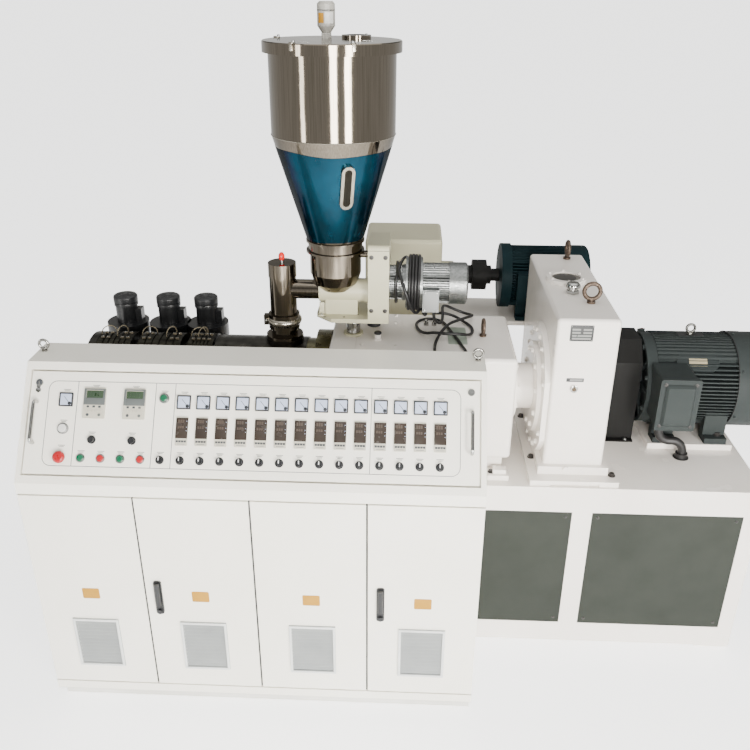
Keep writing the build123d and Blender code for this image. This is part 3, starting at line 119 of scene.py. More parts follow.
def noise_of(tree, place, size_mm, detail=2, rough=0.5):
    """Noise whose patches are about that many millimetres across."""
    return add_node(tree, "ShaderNodeTexNoise",
                    {"Vector": place, "Scale": 1000 / size_mm, "Detail": detail,
                     "Roughness": rough}).outputs["Fac"]


def spread(tree, value, low, high, start=0.3, end=0.7):
    """Stretches the middle of a noise to run from low to high."""
    return add_node(tree, "ShaderNodeMapRange",
                    {"Value": value, "From Min": start, "From Max": end,
                     "To Min": low, "To Max": high}).outputs["Result"]


def two_tone(tree, share, first, second):
    """Goes from one colour to the other with the share."""
    mix = add_node(tree, "ShaderNodeMix", {"Factor": share}, data_type="RGBA")
    mix.inputs[6].default_value = linear(first)
    mix.inputs[7].default_value = linear(second)
    return mix.outputs[2]


def bumped(tree, height, rise_mm, strength=1.0):
    """The normal of a surface whose texture rises by that many millimetres."""
    return add_node(tree, "ShaderNodeBump", {"Height": height, "Distance": rise_mm * mm,
                                             "Strength": strength}).outputs["Normal"]


def finish_material(material, tree, **inputs):
    """Closes a material with its main shader."""
    names = {key.replace("_", " "): value for key, value in inputs.items()}
    shader = add_node(tree, "ShaderNodeBsdfPrincipled", names)
    add_node(tree, "ShaderNodeOutputMaterial", {"Surface": shader.outputs["BSDF"]})
    return material


def moulded(name, colour, shade, roughness, grain_mm=2.5, rise_mm=0.05):
    """Moulded plastic or rubber: one colour through, a fine grain and a slightly uneven gloss."""
    material, tree, place = new_material(name)
    tone = spread(tree, noise_of(tree, place, 90, 3), 0, 1)
    gloss = spread(tree, noise_of(tree, place, 35), roughness * 0.85, roughness * 1.15)
    grain = noise_of(tree, place, grain_mm, 1)
    return finish_material(material, tree, Base_Color=two_tone(tree, tone, colour, shade),
                           Roughness=gloss, Normal=bumped(tree, grain, rise_mm), IOR=1.5)


# PVC cable sheath: almost black, with a soft dull gloss and a dusty bloom on it.
cable_sheath = moulded("pvc_cable_sheath", "#0d0d0e", "#171717", 0.45, 3)


def laid_cable(name, route, replaced):
    """A smooth round cable that follows its route's points."""
    curve = bpy.data.curves.new(name, "CURVE")
    curve.dimensions = "3D"
    curve.resolution_u = 6
    curve.bevel_depth = cable_diameter / 2 * mm
    curve.bevel_resolution = 4
    curve.use_fill_caps = True
    spline = curve.splines.new("NURBS")
    spline.points.add(len(route) - 1)
    for point, place in zip(spline.points, route):
        point.co = (*at(*place), 1)
    spline.order_u = 3
    spline.use_endpoint_u = True
    cable = bpy.data.objects.new(name, curve)
    bpy.context.scene.collection.objects.link(cable)
    curve.materials.append(cable_sheath)
    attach(cable, "machine")
    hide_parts(*replaced)
    return cable


def wound(turns):
    """Points of the winding: each row is an angle, a place along X and a radius."""
    points = []
    for (angle, x, radius), (next_angle, next_x, next_radius) in zip(turns, turns[1:]):
        count = max(1, round(abs(next_angle - angle) / 360 * points_a_turn))
        for step in range(count):
            share = step / count
            here = radians(angle + (next_angle - angle) * share)
            loose = 1.2 * sin(5 * here) + 0.8 * sin(2.3 * here)
            reach = radius + (next_radius - radius) * share + loose
            points.append((x + (next_x - x) * share, coil_middle[0] + reach * cos(here),
                           coil_middle[1] + reach * sin(here)))
    return points


feeder_cable_route = [
    (1524, 458, 817), (1524, 458, 895), (1527, 461, 1010), (1524, 457, 1125), (1525, 459, 1213),
    (1525, 477, 1270), (1523, 521, 1299), (1519, 573, 1287), (1512, 625, 1279), (1501, 677, 1279),
    (1487, 727, 1279), (1472, 777, 1279), (1461, 828, 1279), (1440, 874, 1279), (1397, 897, 1279),
    (1355, 878, 1279), (1338, 834, 1279), (1345, 777, 1279), (1369, 726, 1282), (1409, 689, 1303),
    (1459, 673, 1304), (1508, 679, 1303), (1546, 711, 1284), (1565, 760, 1279), (1562, 812, 1279),
    (1537, 858, 1281), (1496, 892, 1294), (1452, 900, 1303), (1420, 880, 1309), (1416, 848, 1325),
    (1413, 820, 1350), (1413, 800, 1379), (1390, 787, 1399),
]
# The lead crosses over its own turns to the reducer, goes round that once and comes back
# along the drum, and its last turn ends in the gland under the terminal box.
drum_turn, reducer_turn = 104.5, 77
coil_turns = [(-62, 1362, 108), (-95, 1346, 118), (-170, 1300, 120), (-215, 1270, 92),
              (-250, 1262, reducer_turn), (-560, 1256, reducer_turn), (-610, 1270, 84),
              (-665, 1299, drum_turn), (-2240, 1350, drum_turn), (-2245, 1352, 105)]
gland_rise = [(1360, 741, 1376), (1367, 716, 1366), (1373, 698, 1371), (1374, 692, 1384),
              (1374, 692, 1399)]
power_cable_route = [
    (1406, 458, 817), (1406, 458, 895), (1404, 461, 1010), (1406, 457, 1125), (1405, 459, 1213),
    (1405, 477, 1270), (1406, 521, 1299), (1408, 573, 1287), (1411, 626, 1279), (1419, 678, 1279),
    (1437, 726, 1290), (1462, 768, 1304), (1495, 808, 1304), (1533, 843, 1304), (1565, 879, 1299),
    (1573, 923, 1287), (1543, 956, 1281), (1493, 957, 1300), (1456, 936, 1324), (1444, 893, 1330),
    (1446, 842, 1320), (1442, 793, 1310), (1429, 747, 1317), (1411, 713, 1343), (1403, 692, 1370),
    (1403, 692, 1399),
]
laid_cable("feeder_motor_cable", feeder_cable_route + wound(coil_turns) + gland_rise,
           ["feeder_cable", "feeder_cable_coil"])
laid_cable("feeder_power_lead", power_cable_route, ["feeder_power_cable"])

# The floor is a plain pale one, lit from below. Soft boxes stand in front and one hangs
# above, so the fronts are bright, the tops are a pale grey and the sides are darker.
floor_reach = 200
pool_radius, pool_end = 2.6, 5.2
floor_glow, far_glow, seen_glow = 1.5, 0.3, 2.2


def deselect_all():
    """Leaves nothing selected, so that an operator acts on its own piece alone."""
    for chosen in list(bpy.context.selected_objects):
        chosen.select_set(False)


deselect_all()
bpy.ops.mesh.primitive_plane_add(size=2 * floor_reach, location=(0, 0, 0))
floor = bpy.context.object
floor.name = "studio_floor"
# White acrylic floor with light under it. The camera sees it even and pale all over. The
# machine gets light from the part round it alone, so its steel has dark places to reflect.
floor_material, tree, place = new_material("backlit_acrylic_floor")
floor_away = add_node(tree, "ShaderNodeVectorMath", {0: place}, operation="LENGTH")
pool_light = spread(tree, floor_away.outputs["Value"], floor_glow, far_glow,
                    pool_radius, pool_end)
seen_ray = add_node(tree, "ShaderNodeLightPath").outputs["Is Camera Ray"]
floor_light = add_node(tree, "ShaderNodeMix", {"Factor": seen_ray, "A": pool_light})
floor_light.inputs["B"].default_value = seen_glow
floor.data.materials.append(finish_material(
    floor_material, tree, Base_Color=linear("#dededc"), Roughness=0.7,
    Emission_Color=linear("#ffffff"),
    Emission_Strength=floor_light.outputs["Result"]))

# The air behind the camera is pale at the horizon, grey above it and pale overhead, which
# the polished steel reflects in bands. The camera sees one even pale backdrop.
world = bpy.data.worlds.new("studio")
bpy.context.scene.world = world
world.use_nodes = True
world.node_tree.nodes.clear()
sky = world.node_tree
direction = add_node(sky, "ShaderNodeTexCoord").outputs["Generated"]
height = add_node(sky, "ShaderNodeSeparateXYZ", {"Vector": direction}).outputs["Z"]
bands = add_node(sky, "ShaderNodeValToRGB", {"Fac": spread(sky, height, 0, 1, -0.2, 1.0)})
sky_strength, seen_sky_strength = 0.95, 2.5
horizon, upper_grey, overhead = "#e2e1dd", "#8f8d88", "#f4f4f2"
bands.color_ramp.elements[0].color = linear(horizon)
for position, colour in ((0.3, horizon), (0.42, upper_grey), (0.6, upper_grey),
                         (0.75, overhead)):
    stop = bands.color_ramp.elements.new(position)
    stop.color = linear(colour)
glow = add_node(sky, "ShaderNodeBackground",
                {"Color": bands.outputs["Color"], "Strength": sky_strength})
backdrop = add_node(sky, "ShaderNodeBackground", {"Strength": seen_sky_strength})
backdrop.inputs["Color"].default_value = linear("#ffffff")
seen_sky = add_node(sky, "ShaderNodeLightPath").outputs["Is Camera Ray"]
sky_light = add_node(sky, "ShaderNodeMixShader", {0: seen_sky, 1: glow.outputs["Background"],
                                                  2: backdrop.outputs["Background"]})
add_node(sky, "ShaderNodeOutputWorld", {"Surface": sky_light.outputs["Shader"]})
warm_white = (1.0, 0.975, 0.94)


def soft_light(name, place, target, size, power, in_gloss_alone=False):
    """A soft box that faces its target and isn't itself in the picture."""
    data = bpy.data.lights.new(name, "AREA")
    data.shape = "RECTANGLE"
    data.size, data.size_y = size
    data.energy = power
    data.color = warm_white
    lamp = bpy.data.objects.new(name, data)
    bpy.context.scene.collection.objects.link(lamp)
    lamp.location = place
    lamp.rotation_euler = (Vector(target) - Vector(place)).to_track_quat("-Z", "Y").to_euler()
    lamp.visible_camera = False
    lamp.visible_diffuse = not in_gloss_alone


soft_light("ceiling_panel", (0.5, -0.4, 5.2), (0, 0.2, 1), (5, 3.5), 66)
soft_light("front_left_panel", (0.2, -5.2, 1.7), (-0.3, 0, 1.0), (1.0, 2.6), 360)
soft_light("front_right_panel", (2.8, -5.2, 1.8), (0.3, 0, 1.0), (1.2, 2.6), 470)
# The last one is a narrow strip that only glossy faces show: a third bright band on the steel.
soft_light("steel_strip", (-4.3, -3.4, 1.6), (-0.4, -0.1, 1.8), (0.7, 2.6), 90, True)

# Sheet steel painted in white powder coat: the cabinet, the doors, the sloped frame and the
# instrument panel. Powder coat is satin, with a fine orange peel.


def enamel(name, colour, shade, roughness, peel_mm=4, rise_mm=0.04, coat=0.15, sheen_level=0.5):
    """Sprayed or powder paint on steel: cloudy tone, orange peel, a thin clear gloss."""
    material, tree, place = new_material(name)
    cloud = spread(tree, noise_of(tree, place, 420, 4, 0.6), 0, 1)
    gloss = spread(tree, noise_of(tree, place, 120, 3), roughness * 0.88, roughness * 1.15)
    peel = noise_of(tree, place, peel_mm, 1)
    return finish_material(material, tree, Base_Color=two_tone(tree, cloud, colour, shade),
                           Roughness=gloss, Normal=bumped(tree, peel, rise_mm),
                           Coat_Weight=coat, Coat_Roughness=0.12,
                           Specular_IOR_Level=sheen_level)


def dress(material, *names):
    """Gives the named CAD pieces their finish."""
    for name in names:
        nodes[name].data.materials.clear()
        nodes[name].data.materials.append(material)


cabinet_paint = enamel("white_powder_coat", "#efece2", "#e9e6da", 0.38)
dress(cabinet_paint, "cabinet_side_walls", "cabinet_back_wall", "cabinet_roof",
      "cabinet_front_frame", "console_frame", "door_1", "door_2", "door_3", "door_4",
      "instrument_panel")
# The plinth is the same coat, dulled by shoes and mops.
dress(enamel("scuffed_powder_coat", "#dcdbd4", "#c4c2ba", 0.5, coat=0), "cabinet_plinth")

# Filter grilles: louvres of pale grey ABS, dull from the grain of their mould.
dress(moulded("abs_grille", "#a5a9a8", "#9a9e9e", 0.6, 3), *[
    "vent_grille_%d" % k for k in range(1, 5)])

# Swing handles and rotary switches: black nylon with a fine moulded grain.
black_nylon = moulded("black_nylon", "#17181a", "#1f2022", 0.36, 2)
dress(black_nylon, "door_handle_2", "door_handle_4", "selector_knobs")

# Instruments: pale ABS cases for the controllers and keypads, dark ones for the meters.
instrument_abs = moulded("instrument_abs", "#bcb8a9", "#b2ae9f", 0.45, 2)
dress(instrument_abs, "temperature_controllers", "inverter_keypads")
dress(moulded("meter_case_abs", "#2a2b2e", "#222326", 0.4, 2), "panel_meters")

# Bare metal: the hopper is polished stainless sheet, the pull handles are chromed, the push
# button rings are zinc plated, and the feeder's motor is cast aluminium, dull and mottled.


def streaks(tree, place, lengths_mm):
    """Noise drawn out to those lengths along X, Y and Z."""
    lie = add_node(tree, "ShaderNodeMapping", {"Vector": place, "Scale": [
        1 / (length * mm) for length in lengths_mm]}).outputs["Vector"]
    return add_node(tree, "ShaderNodeTexNoise",
                    {"Vector": lie, "Scale": 1.0, "Detail": 3}).outputs["Fac"]


def steel(name, colour, shade, roughness, streak_mm=(3, 3, 260), wave_mm=160, wave_rise=1.2):
    """Bare metal: faint streaks of the polish and slow waves of the rolled sheet."""
    material, tree, place = new_material(name)
    streak = streaks(tree, place, streak_mm)
    tone = spread(tree, streak, 0, 1)
    gloss = spread(tree, streak, roughness * 0.7, roughness * 1.35)
    wave = noise_of(tree, place, wave_mm, 2)
    return finish_material(material, tree, Base_Color=two_tone(tree, tone, colour, shade),
                           Metallic=1.0, Roughness=gloss, Normal=bumped(tree, wave, wave_rise))


polished = steel("polished_stainless", "#7b7368", "#665f54", 0.08)
dress(polished, "hopper_cylinder", "hopper_cone", "hopper_lid", "feeder_bowl", "feed_tubes")
chrome = steel("chromed_steel", "#b4b4b1", "#a3a3a0", 0.1, (6, 6, 6), 40, 0.1)
dress(chrome, "panel_handles")
zinc = steel("zinc_plated_steel", "#a9aaa8", "#8f908e", 0.3, (8, 8, 8), 30, 0.2)
dress(zinc, "push_buttons")
cast_aluminium = steel("cast_aluminium", "#8d8f8e", "#737675", 0.38, (9, 9, 9), 12, 0.35)
dress(cast_aluminium, "feeder_motor")

# Eye bolts: forged steel, rusted brown on the gearbox and the casing, and bright on the
# cabinet, which stands nearer than this line across the machine.
bright_eye_limit = at(0, 500, 0).y
eye_material, tree, place = new_material("forged_steel_eyes")
depth = add_node(tree, "ShaderNodeSeparateXYZ", {"Vector": place}).outputs["Y"]
bare = add_node(tree, "ShaderNodeMath", {0: depth, 1: bright_eye_limit},
                operation="LESS_THAN").outputs["Value"]
flake = noise_of(tree, place, 9, 4, 0.7)
rust = two_tone(tree, spread(tree, flake, 0, 1), "#3b322b", "#75665a")
eye_mix = add_node(tree, "ShaderNodeMix", {"Factor": bare}, data_type="RGBA")
tree.links.new(rust, eye_mix.inputs[6])
eye_mix.inputs[7].default_value = linear("#8f8e89")
shine = spread(tree, bare, 0.55, 0.16, 0, 1)
finish_material(eye_material, tree, Base_Color=eye_mix.outputs[2], Metallic=0.85,
                Roughness=shine, Normal=bumped(tree, flake, 0.5))
dress(eye_material, "lifting_eyes")

# Base frame, gearbox and casing: thick glossy white enamel on welded steel and castings.
machine_paint = enamel("white_machine_enamel", "#ece7e0", "#e4ded6", 0.24, 14, 0.12, coat=0.25)
dress(machine_paint, "base_frame", "distribution_casing", "gearbox_housing", "neck_flange",
      "motor_base_plate", "pump_stand", "gearbox_fittings")
# Cover panels: steel sheet in a grey-green satin paint.
dress(enamel("grey_green_paint", "#272b25", "#21251f", 0.6, 5, 0.05, coat=0, sheen_level=0.25),
      "base_side_panels")

# Barrel: oiled dark steel and heater shells burnt to a brown black.
dress(steel("oiled_barrel_steel", "#4a4842", "#2f2e2a", 0.34, (40, 40, 40), 25, 0.3),
      "barrel", "barrel_screws", "barrel_support")
dress(steel("turned_flange_steel", "#6f6b52", "#5b5842", 0.3, (40, 40, 40), 30, 0.2),
      "barrel_flange")
dress(steel("burnt_heater_shell", "#3b3a30", "#211f1a", 0.4, (60, 9, 9), 18, 0.5),
      "barrel_heaters")
dress(enamel("black_blower_enamel", "#1b1c1e", "#141516", 0.33, 6, 0.08, coat=0.3),
      "barrel_blowers")

# Coupling guard and the open coupling: black satin paint and black rubber.
dress(enamel("black_guard_paint", "#141413", "#0f0f0e", 0.55, 6, 0.05, coat=0,
             sheen_level=0.15), "coupling_guard", "pump_coupling")

# Main motor: cast iron housing in a bluish grey enamel.
motor_paint = enamel("grey_motor_enamel", "#313635", "#282d2d", 0.55, 8, 0.15, coat=0,
                     sheen_level=0.12)
dress(motor_paint, "motor_housing", "motor_end_shield", "motor_fan_cowl",
      "motor_terminal_box")
# The pump's motor wears a dark teal, flat from dust, and the cable hose is black rubber.
dress(enamel("teal_motor_enamel", "#0d2226", "#09191c", 0.55, 8, 0.12, coat=0,
             sheen_level=0.08), "pump_motor")
dress(moulded("black_hose_rubber", "#141414", "#1e1d1d", 0.45, 3), "motor_conduit")

# Feeder: beige enamel on folded sheet, a glossy red knob and a satin grey sensor housing.
feeder_paint = enamel("beige_enamel", "#bdb99d", "#b2ae92", 0.4, 6, 0.06, coat=0.1)
dress(feeder_paint, "feeder_base", "chain_cover", "vacuum_pump")
dress(moulded("red_knob_plastic", "#d3231c", "#b81c17", 0.22, 6), "drop_tube_knob")
dress(moulded("sensor_abs", "#a9a79f", "#9b9992", 0.45, 3), "hopper_fittings")

# What is fastened on the machine is modelled piece by piece. Each piece starts as a
# primitive, is shaped in edit mode and is then turned to the face that carries it.


def edit_chosen(piece, chosen, select_mode):
    """Goes into edit mode with only the chosen edges or faces selected."""
    mesh = piece.data
    for item in (*mesh.vertices, *mesh.edges, *mesh.polygons):
        item.select = False
    for item in chosen:
        item.select = True
    bpy.context.view_layer.objects.active = piece
    bpy.context.tool_settings.mesh_select_mode = select_mode
    bpy.ops.object.mode_set(mode="EDIT")


def edit_edges(piece, wanted):
    """Goes into edit mode with only those edges selected whose two ends suit."""
    mesh = piece.data
    edit_chosen(piece, [edge for edge in mesh.edges
                        if wanted(*[mesh.vertices[i].co for i in edge.vertices])],
                (False, True, False))


def ease_edges(piece, wanted, width, segments=2):
    """Rounds the edges that suit by that many millimetres."""
    edit_edges(piece, wanted)
    bpy.ops.mesh.bevel(offset=width * mm, segments=segments, affect="EDGES")
    bpy.ops.object.mode_set(mode="OBJECT")


def plate(name, middle, size, material, corner=0.0, edge=0.4):
    """A plate that stands on height 0 of its middle, with rounded corners and eased top."""
    deselect_all()
    bpy.ops.mesh.primitive_cube_add(size=1)
    piece = bpy.context.object
    piece.name = name
    piece.data.transform(Matrix.Diagonal([s * mm for s in size] + [1]))
    if corner:
        ease_edges(piece, lambda a, b: abs(a.z - b.z) > size[2] * mm / 2, corner, 5)
    if edge:
        ease_edges(piece, lambda a, b: min(a.z, b.z) > 0.49 * size[2] * mm, edge)
    piece.data.transform(Matrix.Translation(
        (middle[0] * mm, middle[1] * mm, (middle[2] + size[2] / 2) * mm)))
    piece.data.materials.append(material)
    return piece


def turned_part(name, middle, radius, rise, material, edge=0.6, sides=32, segments=2,
                top_radius=None):
    """A turned part that stands on its middle, with its top edge rounded."""
    deselect_all()
    bpy.ops.mesh.primitive_cone_add(
        vertices=sides, radius1=radius * mm, depth=rise * mm,
        radius2=(radius if top_radius is None else top_radius) * mm)
    piece = bpy.context.object
    piece.name = name
    ease_edges(piece, lambda a, b: min(a.z, b.z) > 0.49 * rise * mm, edge, segments)
    piece.data.transform(Matrix.Translation(
        (middle[0] * mm, middle[1] * mm, (middle[2] + rise / 2) * mm)))
    piece.data.materials.append(material)
    return piece


def joined(name, parts):
    """Makes one piece of several."""
    deselect_all()
    for part in parts:
        part.select_set(True)
    bpy.context.view_layer.objects.active = parts[0]
    if len(parts) > 1:
        bpy.ops.object.join()
    parts[0].name = name
    bpy.ops.object.shade_smooth_by_angle(angle=radians(35))
    return parts[0]


def repeated(name, model, places):
    """Copies a model to every place, each with its own mesh, as one piece."""
    copies = []
    for place in places:
        copy = model.copy()
        copy.data = model.data.copy()
        copy.data.transform(place)
        bpy.context.scene.collection.objects.link(copy)
        copies.append(copy)
    bpy.data.objects.remove(model)
    return joined(name, copies)


def move(x, y, z=0):
    """A shift by that many millimetres."""
    return Matrix.Translation((x * mm, y * mm, z * mm))


def facing(outward, x, y, z):
    """The place of a face: X across it, Y up it and Z out of it, from a measured point."""
    out = Vector(outward).normalized()
    up = Vector((0, 0, 1)) if abs(out.z) < 0.9 else Vector((0, 1, 0))
    across = up.cross(out).normalized()
    return standing(x, y, z) @ Matrix(
        (across, out.cross(across), out)).transposed().to_4x4()


def fasten(piece, body, place=None):
    """Turns a piece to its face, and makes it part of a body."""
    if place is not None:
        piece.data.transform(place)
    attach(piece, body)
    return piece


# The instrument panel: a steel door on a slope, with a printed frame round its fields, blank
# caption strips, moving iron meters, controllers, rotary switches and push buttons.
slope_run = 249
slope_rise = 335
slope_angle = atan2(slope_rise, slope_run)
slope_foot_height, panel_left, panel_set_up = 1012, 24, 33
panel_low_edge = (panel_left, panel_set_up * cos(slope_angle),
                  slope_foot_height + panel_set_up * sin(slope_angle))
panel_face = facing((0, -sin(slope_angle), cos(slope_angle)), *panel_low_edge)
field_size = (1404, 291)
field_middle = (763, 173.5)
field_corner = 30
line_width = 2
line_rise = 0.4
field_dividers = (163, 431, 498, 1165)
column_first = 530
column_pitch = 66.7
column_count = 14
columns = [column_first + step * column_pitch for step in range(column_count)]
meter_row, controller_row, selector_row = 254, 155, 57
stop_x, start_x = 124, 462
keypad_xs, keypad_row = (225, 362), 243
button_xs = [193 + 67.5 * step for step in range(4)]

printed_grey = moulded("printed_grey_ink", "#4c4f50", "#454849", 0.5, 3, 0.01)
caption_ink = moulded("faded_caption_ink", "#8b8c88", "#757672", 0.5, 3, 0.01)
deselect_all()
bpy.ops.mesh.primitive_plane_add(size=1)
field_frame = bpy.context.object
field_frame.data.transform(move(*field_middle) @ Matrix.Diagonal(
    (field_size[0] * mm, field_size[1] * mm, 1, 1)))
bpy.ops.object.mode_set(mode="EDIT")
bpy.ops.mesh.select_all(action="SELECT")
bpy.ops.mesh.bevel(offset=field_corner * mm, segments=6, affect="VERTICES")
bpy.ops.mesh.inset(thickness=line_width * mm)
bpy.ops.mesh.delete(type="FACE")
bpy.ops.mesh.select_all(action="SELECT")
bpy.ops.mesh.extrude_region_move(TRANSFORM_OT_translate={"value": (0, 0, line_rise * mm)})
bpy.ops.object.mode_set(mode="OBJECT")
field_frame.data.materials.append(printed_grey)
dividers = [plate("divider", (x, field_middle[1], 0),
                  (line_width, field_size[1] - line_width, line_rise), printed_grey, edge=0)
            for x in field_dividers]
fasten(joined("panel_field_lines", [field_frame] + dividers), "console_panel",
       panel_face)

caption_rows = [(x, row) for x in columns for row in (meter_row + 33, selector_row + 24)]
caption_rows += [(126, 287), (stop_x, 181), (stop_x, 96), (start_x, 289), (start_x, 81)]
caption_rows += [(x, y) for x in keypad_xs for y in (303, 143)] + [(x, 79) for x in button_xs]
caption = joined("caption", [
    plate("caption", (0, 2.2, 0), (24, 2.4, 0.3), caption_ink, edge=0),
    plate("caption", (0, -2.2, 0), (17, 2.0, 0.3), caption_ink, edge=0)])
fasten(repeated("panel_captions", caption, [move(*spot) for spot in caption_rows]),
       "console_panel", panel_face)

# Meters: a pale printed dial with a scale, a pointer and a dark cover over the pivot.
dial_card = moulded("meter_dial_card", "#b9c3da", "#afbad2", 0.4, 6, 0.01)
dial_ink = moulded("meter_dial_ink", "#23272c", "#1c1f24", 0.4, 3, 0.01)
dial_floor = 5
dial_scale_radius = 25
deselect_all()
bpy.ops.mesh.primitive_circle_add(vertices=64, radius=dial_scale_radius * mm)
dial_scale = bpy.context.object
for vertex in dial_scale.data.vertices:
    vertex.select = not (vertex.co.x < 2 * mm and vertex.co.y > -2 * mm)
bpy.context.tool_settings.mesh_select_mode = (True, False, False)
bpy.ops.object.mode_set(mode="EDIT")
bpy.ops.mesh.delete(type="VERT")
bpy.ops.mesh.select_all(action="SELECT")
bpy.ops.mesh.extrude_region_move(TRANSFORM_OT_translate={"value": (0, 0, 0.2 * mm)})
bpy.ops.mesh.select_all(action="SELECT")
bpy.ops.object.mode_set(mode="OBJECT")
thicken = dial_scale.modifiers.new("thicken", "SOLIDIFY")
thicken.thickness = 2.4 * mm
bpy.ops.object.modifier_apply(modifier=thicken.name)
dial_scale.data.transform(move(13, -12, dial_floor + 0.5))
dial_scale.data.materials.append(dial_ink)
needle = plate("needle", (0, 0, 0), (26, 1.6, 0.3), dial_ink, edge=0)
needle.data.transform(move(2, 0, dial_floor + 0.8) @ Matrix.Rotation(radians(-50), 4, "Z"))
meter = joined("meter", [
    plate("dial", (0, 0, dial_floor), (38.6, 38.6, 0.5), dial_card, 1, 0.2), dial_scale, needle,
    turned_part("pivot_cover", (13, -13, dial_floor + 0.5), 6, 1.6, dial_ink, sides=20)])
meter_spots = [move(126, meter_row)] + [move(x, meter_row) for x in columns]
fasten(repeated("meter_dials", meter, meter_spots), "console_panel",
       panel_face)

# Controllers: a tall smoked window with unlit displays over a strip of four soft keys.
smoked_window = moulded("smoked_acrylic_window", "#332b25", "#2b241f", 0.25, 20, 0.01)
unlit_digit = moulded("unlit_digit", "#453a31", "#3e342c", 0.35, 6, 0.01)
soft_key = moulded("soft_key_rubber", "#3e4245", "#383c3f", 0.5, 3)
digits = [plate("digit", (x, y, 6.4), (6, 11 if y > 20 else 8, 0.2), unlit_digit, edge=0)
          for y in (34, 14) for x in (-11, -3.5, 4)]
keys = [plate("key", (x, -34, 5.9), (7.6, 7, 1.4), soft_key, 1, 0.5)
        for x in (-13.5, -4.5, 4.5, 13.5)]
marks = [plate("mark", (16, y, 6.4), (2, 2, 0.3), dial_card, edge=0) for y in (34, 14, 2)]
controller = joined("controller", [
    plate("window", (0, 11, 5.9), (41, 70, 0.6), smoked_window, 1, 0.2),
    plate("name_strip", (0, -43, 5.9), (26, 2.5, 0.3), caption_ink, edge=0)]
    + digits + keys + marks)
fasten(repeated("controller_faces", controller, [move(x, controller_row) for x in columns]),
       "console_panel", panel_face)

# Rotary switches: a white line along each black grip, and a pale ring printed round it.
white_ink = moulded("white_ink", "#f4f4f2", "#ececea", 0.45, 3, 0.01)
pointer = plate("pointer", (0, 3.5, 19.9), (2.4, 12, 0.5), white_ink, 0.6, 0.2)
fasten(repeated("switch_pointers", pointer,
                [move(x, selector_row) for x in columns + [start_x]]),
       "console_panel", panel_face)

# Push buttons: domed caps in the button's colour, and the red mushroom head.
green_cap = moulded("green_button_plastic", "#0a5a3c", "#085035", 0.3, 8, 0.02)
red_cap = moulded("red_button_plastic", "#a5121a", "#951017", 0.3, 8, 0.02)
white_cap = moulded("white_button_plastic", "#d6d6d2", "#cacac6", 0.3, 8, 0.02)


def domed_cap(name, x, y, low, radius, rise, material):
    """A button cap with its rim rounded almost to its middle."""
    return turned_part(name, (x, y, low), radius, rise, material, rise * 0.7, 36, 4)


caps = [domed_cap("cap", x, selector_row, 2, 12.4, 7, colour)
        for x, colour in zip(button_xs, (green_cap, red_cap, green_cap, red_cap))]
caps += [domed_cap("cap", start_x, 266, 3, 14.4, 11, green_cap),
         domed_cap("cap", stop_x, 155, 3, 16.4, 8.5, white_cap)]
fasten(joined("button_caps", caps), "console_panel", panel_face)
mushroom = turned_part("head", (stop_x, selector_row, 11.6), 20.5, 13.4, red_cap, 9, 40, 5)
fasten(joined("stop_button_head", [mushroom]), "console_panel", panel_face)

# Inverter keypads: a grey upper plate round a green liquid crystal window, over arrow keys
# and two round keys.
keypad_grey = moulded("keypad_grey_abs", "#555a59", "#4e5352", 0.5, 4)
lcd_green = moulded("liquid_crystal_window", "#2c3f2a", "#283a26", 0.4, 12, 0.01)
lcd_dark = moulded("liquid_crystal_segment", "#2a3a2a", "#253425", 0.3, 6, 0.01)
keypad_parts = [plate("screen", (0, 31, 7), (57.4, 25.4, 0.5), lcd_green, 1, 0.2),
                plate("upper_left", (-32.8, 22, 8.9), (7.6, 56, 0.8), keypad_grey, 1.5, 0.3),
                plate("upper_right", (32.8, 22, 8.9), (7.6, 56, 0.8), keypad_grey, 1.5, 0.3),
                plate("upper_bar", (0, 47.5, 8.9), (58, 5, 0.8), keypad_grey, 0, 0.3),
                plate("lower_bar", (0, 6, 8.9), (58, 24, 0.8), keypad_grey, 0, 0.3)]
keypad_parts += [plate("segment", (x, 31, 7.5), (6.5, 13, 0.25), lcd_dark, edge=0)
                 for x in (-18, -8, 2, 12)]
keypad_parts += [plate("arrow_key", (x, -12, 8.9), (9, 7, 1.6), soft_key, 2, 0.6)
                 for x in (-20, 0, 20)]
keypad_parts += [domed_cap("run_key", x, -40, 8.9, 5, 1.8, key_colour)
                 for x, key_colour in ((-20, soft_key), (20, keypad_grey))]
fasten(repeated("keypad_faces", joined("keypad", keypad_parts), [
    move(x, keypad_row) for x in keypad_xs]), "console_panel", panel_face)

# Locks of the panel: a key stands in the left one with its ring. Under each keypad a white
# dot marks the grip of its trimmer.
key_bow = plate("key_bow", (0, -12, 6), (13, 15, 2), chrome, 4, 0.5)
key_stem = plate("key_stem", (0, -1, 6), (5, 12, 2), chrome, 0.5, 0.3)
lock_shade = turned_part("lock_shade", (0, 0, 5.1), 10.5, 0.8, soft_key, 0.3, 28)
key_ring = turned_part("key_ring", (0, -26, 6), 9, 1.6, chrome, 0.5, 24)
fasten(joined("panel_key", [key_bow, key_stem, lock_shade, key_ring]), "console_panel",
       panel_face @ move(28, 310.4))
trimmer_row, trimmer_face = 98, 12
fasten(repeated("trimmer_dots", turned_part("dot", (0, 6, 0), 2, 0.6, white_ink, 0.2, 16), [
    move(x, trimmer_row, trimmer_face) for x in keypad_xs]),
    "console_panel", panel_face)

